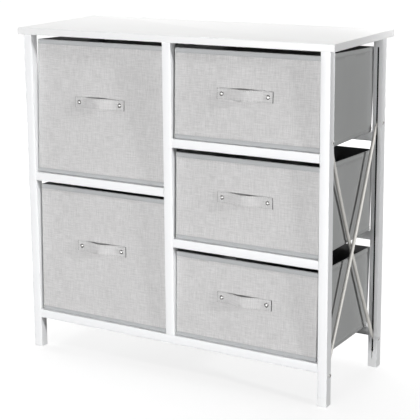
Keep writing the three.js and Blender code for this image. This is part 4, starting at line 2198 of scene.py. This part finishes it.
@dataclass
class Camera:
    """The camera, fitted to corners and edges of the dresser in the photograph."""

    position: tuple[float, float, float] = (1.45723, -2.48116, 1.08026)
    azimuth: float = 0.565872
    elevation: float = 0.209546
    roll: float = -0.015862
    focal_pixels: float = 1279.125
    centre: tuple[float, float] = (158.0, 162.0)
    picture: int = 420
    sensor: float = 36.0
    farthest: float = 100.0

    def build(self) -> bpy.types.Object:
        """Places the camera and makes it the scene's camera.

        Returns:
            The camera's object.
        """
        back = heading(self.azimuth, self.elevation)
        level = Vector((math.cos(self.azimuth), math.sin(self.azimuth), 0.0))
        over = back.cross(level)
        right = level * math.cos(self.roll) + over * math.sin(self.roll)
        up = over * math.cos(self.roll) - level * math.sin(self.roll)
        data = bpy.data.cameras.new("camera")
        data.sensor_fit = "HORIZONTAL"
        data.sensor_width = self.sensor
        data.lens = self.focal_pixels / self.picture * self.sensor
        data.shift_x = (self.picture / 2 - self.centre[0]) / self.picture
        data.shift_y = (self.centre[1] - self.picture / 2) / self.picture
        data.clip_end = self.farthest
        camera = add_to_scene("camera", data)
        turn = Matrix((right, up, back)).transposed().to_4x4()
        camera.matrix_world = Matrix.Translation(self.position) @ turn
        bpy.context.scene.camera = camera
        log.info("camera: lens %.1f mm, shift %.3f %.3f", data.lens, data.shift_x, data.shift_y)
        return camera


@dataclass(frozen=True)
class SoftBox:
    """A rectangular lamp that faces the dresser."""

    name: str
    azimuth: float
    elevation: float
    distance: float
    size: tuple[float, float]
    level: float
    aim: tuple[float, float, float] = (0.0, 0.0, 0.4)

    def build(self) -> None:
        """Hangs the lamp. Its level is what a white face that looks at it would show."""
        way = heading(math.radians(self.azimuth), math.radians(self.elevation))
        data = bpy.data.lights.new(self.name, "AREA")
        data.shape = "RECTANGLE"
        data.size, data.size_y = self.size
        data.energy = self.level * math.pi ** 2 * self.distance ** 2
        lamp = hang(data, way, Vector(self.aim) + way * self.distance)
        lamp.visible_camera = False
        log.info("%s: %.0f W", self.name, data.energy)


@dataclass
class Studio:
    """White studio: a low key light from the right, soft boxes, a white floor and world."""

    key_azimuth: float = 82.0
    key_elevation: float = 16.0
    key_strength: float = 1.5
    key_angle: float = 3.0
    floor_radii: tuple[float, ...] = (1.5, 4.0, 30.0)
    floor_sides: int = 96
    floor_grey: float = 0.3
    floor_bounce: float = 0.1
    fill: float = 0.05
    boxes: tuple[SoftBox, ...] = (
        SoftBox("front_box", 2.0, 0.0, 3.6, (1.4, 0.6), 0.86, (0.0, 0.0, 0.36)),
        SoftBox("top_box", -150.0, 72.0, 3.2, (2.2, 2.2), 0.66),
        SoftBox("left_box", -95.0, 8.0, 3.2, (1.8, 1.8), 0.55),
        SoftBox("rear_box", 178.0, 6.0, 3.4, (1.8, 1.8), 0.6),
    )

    def _key(self) -> None:
        """Adds the key light."""
        data = bpy.data.lights.new("key", "SUN")
        data.energy = self.key_strength
        data.angle = math.radians(self.key_angle)
        way = heading(math.radians(self.key_azimuth), math.radians(self.key_elevation))
        hang(data, way, Vector())

    @staticmethod
    def _seen(desk: NodeDesk) -> Socket:
        """1 for the rays that show the background itself, straight, mirrored or through glass.

        Args:
            desk: The tree's desk.

        Returns:
            The mask.
        """
        path = desk.add("ShaderNodeLightPath").outputs
        either = desk.maths("MAXIMUM", path["Is Camera Ray"], path["Is Glossy Ray"])
        return desk.maths("MAXIMUM", either, path["Is Transmission Ray"])

    def _world(self) -> None:
        """Makes the world white where it is seen, and a faint fill otherwise."""
        world = bpy.data.worlds.new("studio")
        world.use_nodes = True
        world.node_tree.nodes.clear()
        desk = NodeDesk(world.node_tree)
        strength = desk.ramp(self._seen(desk), self.fill, 1.0)
        light = desk.add("ShaderNodeBackground")
        desk.feed(light, Color=(1.0, 1.0, 1.0, 1.0), Strength=strength)
        desk.feed(desk.add("ShaderNodeOutputWorld"), Surface=light.outputs[0])
        bpy.context.scene.world = world

    def _floor_material(self) -> bpy.types.Material:
        """Makes the floor's material: white where it is seen, and a faint bounce otherwise.

        Returns:
            The material.
        """
        material = bpy.data.materials.new("studio_floor")
        material.use_nodes = True
        material.node_tree.nodes.clear()
        desk = NodeDesk(material.node_tree)
        away = desk.add("ShaderNodeVectorMath", operation="LENGTH")
        desk.link(desk.add("ShaderNodeTexCoord").outputs["Object"], away.inputs[0])
        glow = desk.add("ShaderNodeEmission")
        desk.feed(glow, Strength=desk.ramp(away.outputs["Value"], 0.8, 1.0, 0.8, 3.0))
        shown, unseen = (
            desk.feed(desk.add("ShaderNodeBsdfDiffuse"), Color=(grey, grey, grey, 1.0)).outputs[0]
            for grey in (self.floor_grey, self.floor_bounce)
        )
        both = desk.add("ShaderNodeAddShader")
        desk.link(glow.outputs[0], both.inputs[0])
        desk.link(shown, both.inputs[1])
        choice = desk.add("ShaderNodeMixShader")
        for value, socket in zip((self._seen(desk), unseen, both.outputs[0]), choice.inputs):
            desk.link(value, socket)
        desk.feed(desk.add("ShaderNodeOutputMaterial"), Surface=choice.outputs[0])
        return material

    def _floor(self) -> None:
        """Lays the white floor, which keeps the dresser's shadow and fades into the world."""
        skin = Skin()
        rings = [skin.level(circle(radius, self.floor_sides), 0.0) for radius in self.floor_radii]
        skin.face(rings[0])
        for first, second in zip(rings, rings[1:]):
            skin.bridge(first, second)
        floor = skin.make("studio_floor", [self._floor_material()])

    def build(self) -> None:
        """Sets up the light, the world and the floor."""
        bpy.context.scene.view_settings.view_transform = "Standard"
        self._key()
        for box in self.boxes:
            box.build()
        self._world()
        self._floor()
        log.info("studio: key light and %d soft boxes", len(self.boxes))


# ---------------------------------------------------------------- assembly


def drawers(finishes: Finishes, fastening: Repeater) -> list[Drawer]:
    """The five drawers with what is particular to each.

    Args:
        finishes: The dresser's finishes.
        fastening: What sets their rivets.

    Returns:
        The drawers.
    """
    stitching = Repeater.stitching()
    short, tall = 107 * MM, 173.5 * MM
    splay = 6.5 * MM
    choices = [
        ("drawer_upper_left", 2.5, tall, 1, 1.8 * MM, 0.0, 2.4 * MM),
        ("drawer_lower_left", 1.6, tall, 2, -1.2 * MM, 0.0, 0.0),
        ("drawer_top_right", 2.0, short, 3, 1.8 * MM, splay, 0.0),
        ("drawer_middle_right", 1.8, short, 4, -1.8 * MM, splay, 0.0),
        ("drawer_bottom_right", 2.0, short, 5, -1.8 * MM, splay, 0.0),
    ]
    return [
        Drawer(
            name, math.radians(slope), rise, seed, finishes, stitching, fastening, trim, back, fill
        )
        for name, slope, rise, seed, trim, back, fill in choices
    ]


def main() -> None:
    """Builds the camera, the studio and the dresser, in that order."""
    Camera().build()
    Studio().build()
    finishes = Finishes()
    fastening = Repeater.fastening()
    TopBoard(finishes).build()
    Posts(finishes).build_all()
    Rails(finishes).build_all()
    Feet(finishes).build_all()
    BraceRods(finishes).build_all()
    BraceBolts(finishes, fastening).build()
    for drawer in drawers(finishes, fastening):
        drawer.build_all()


if __name__ == "__main__":
    main()
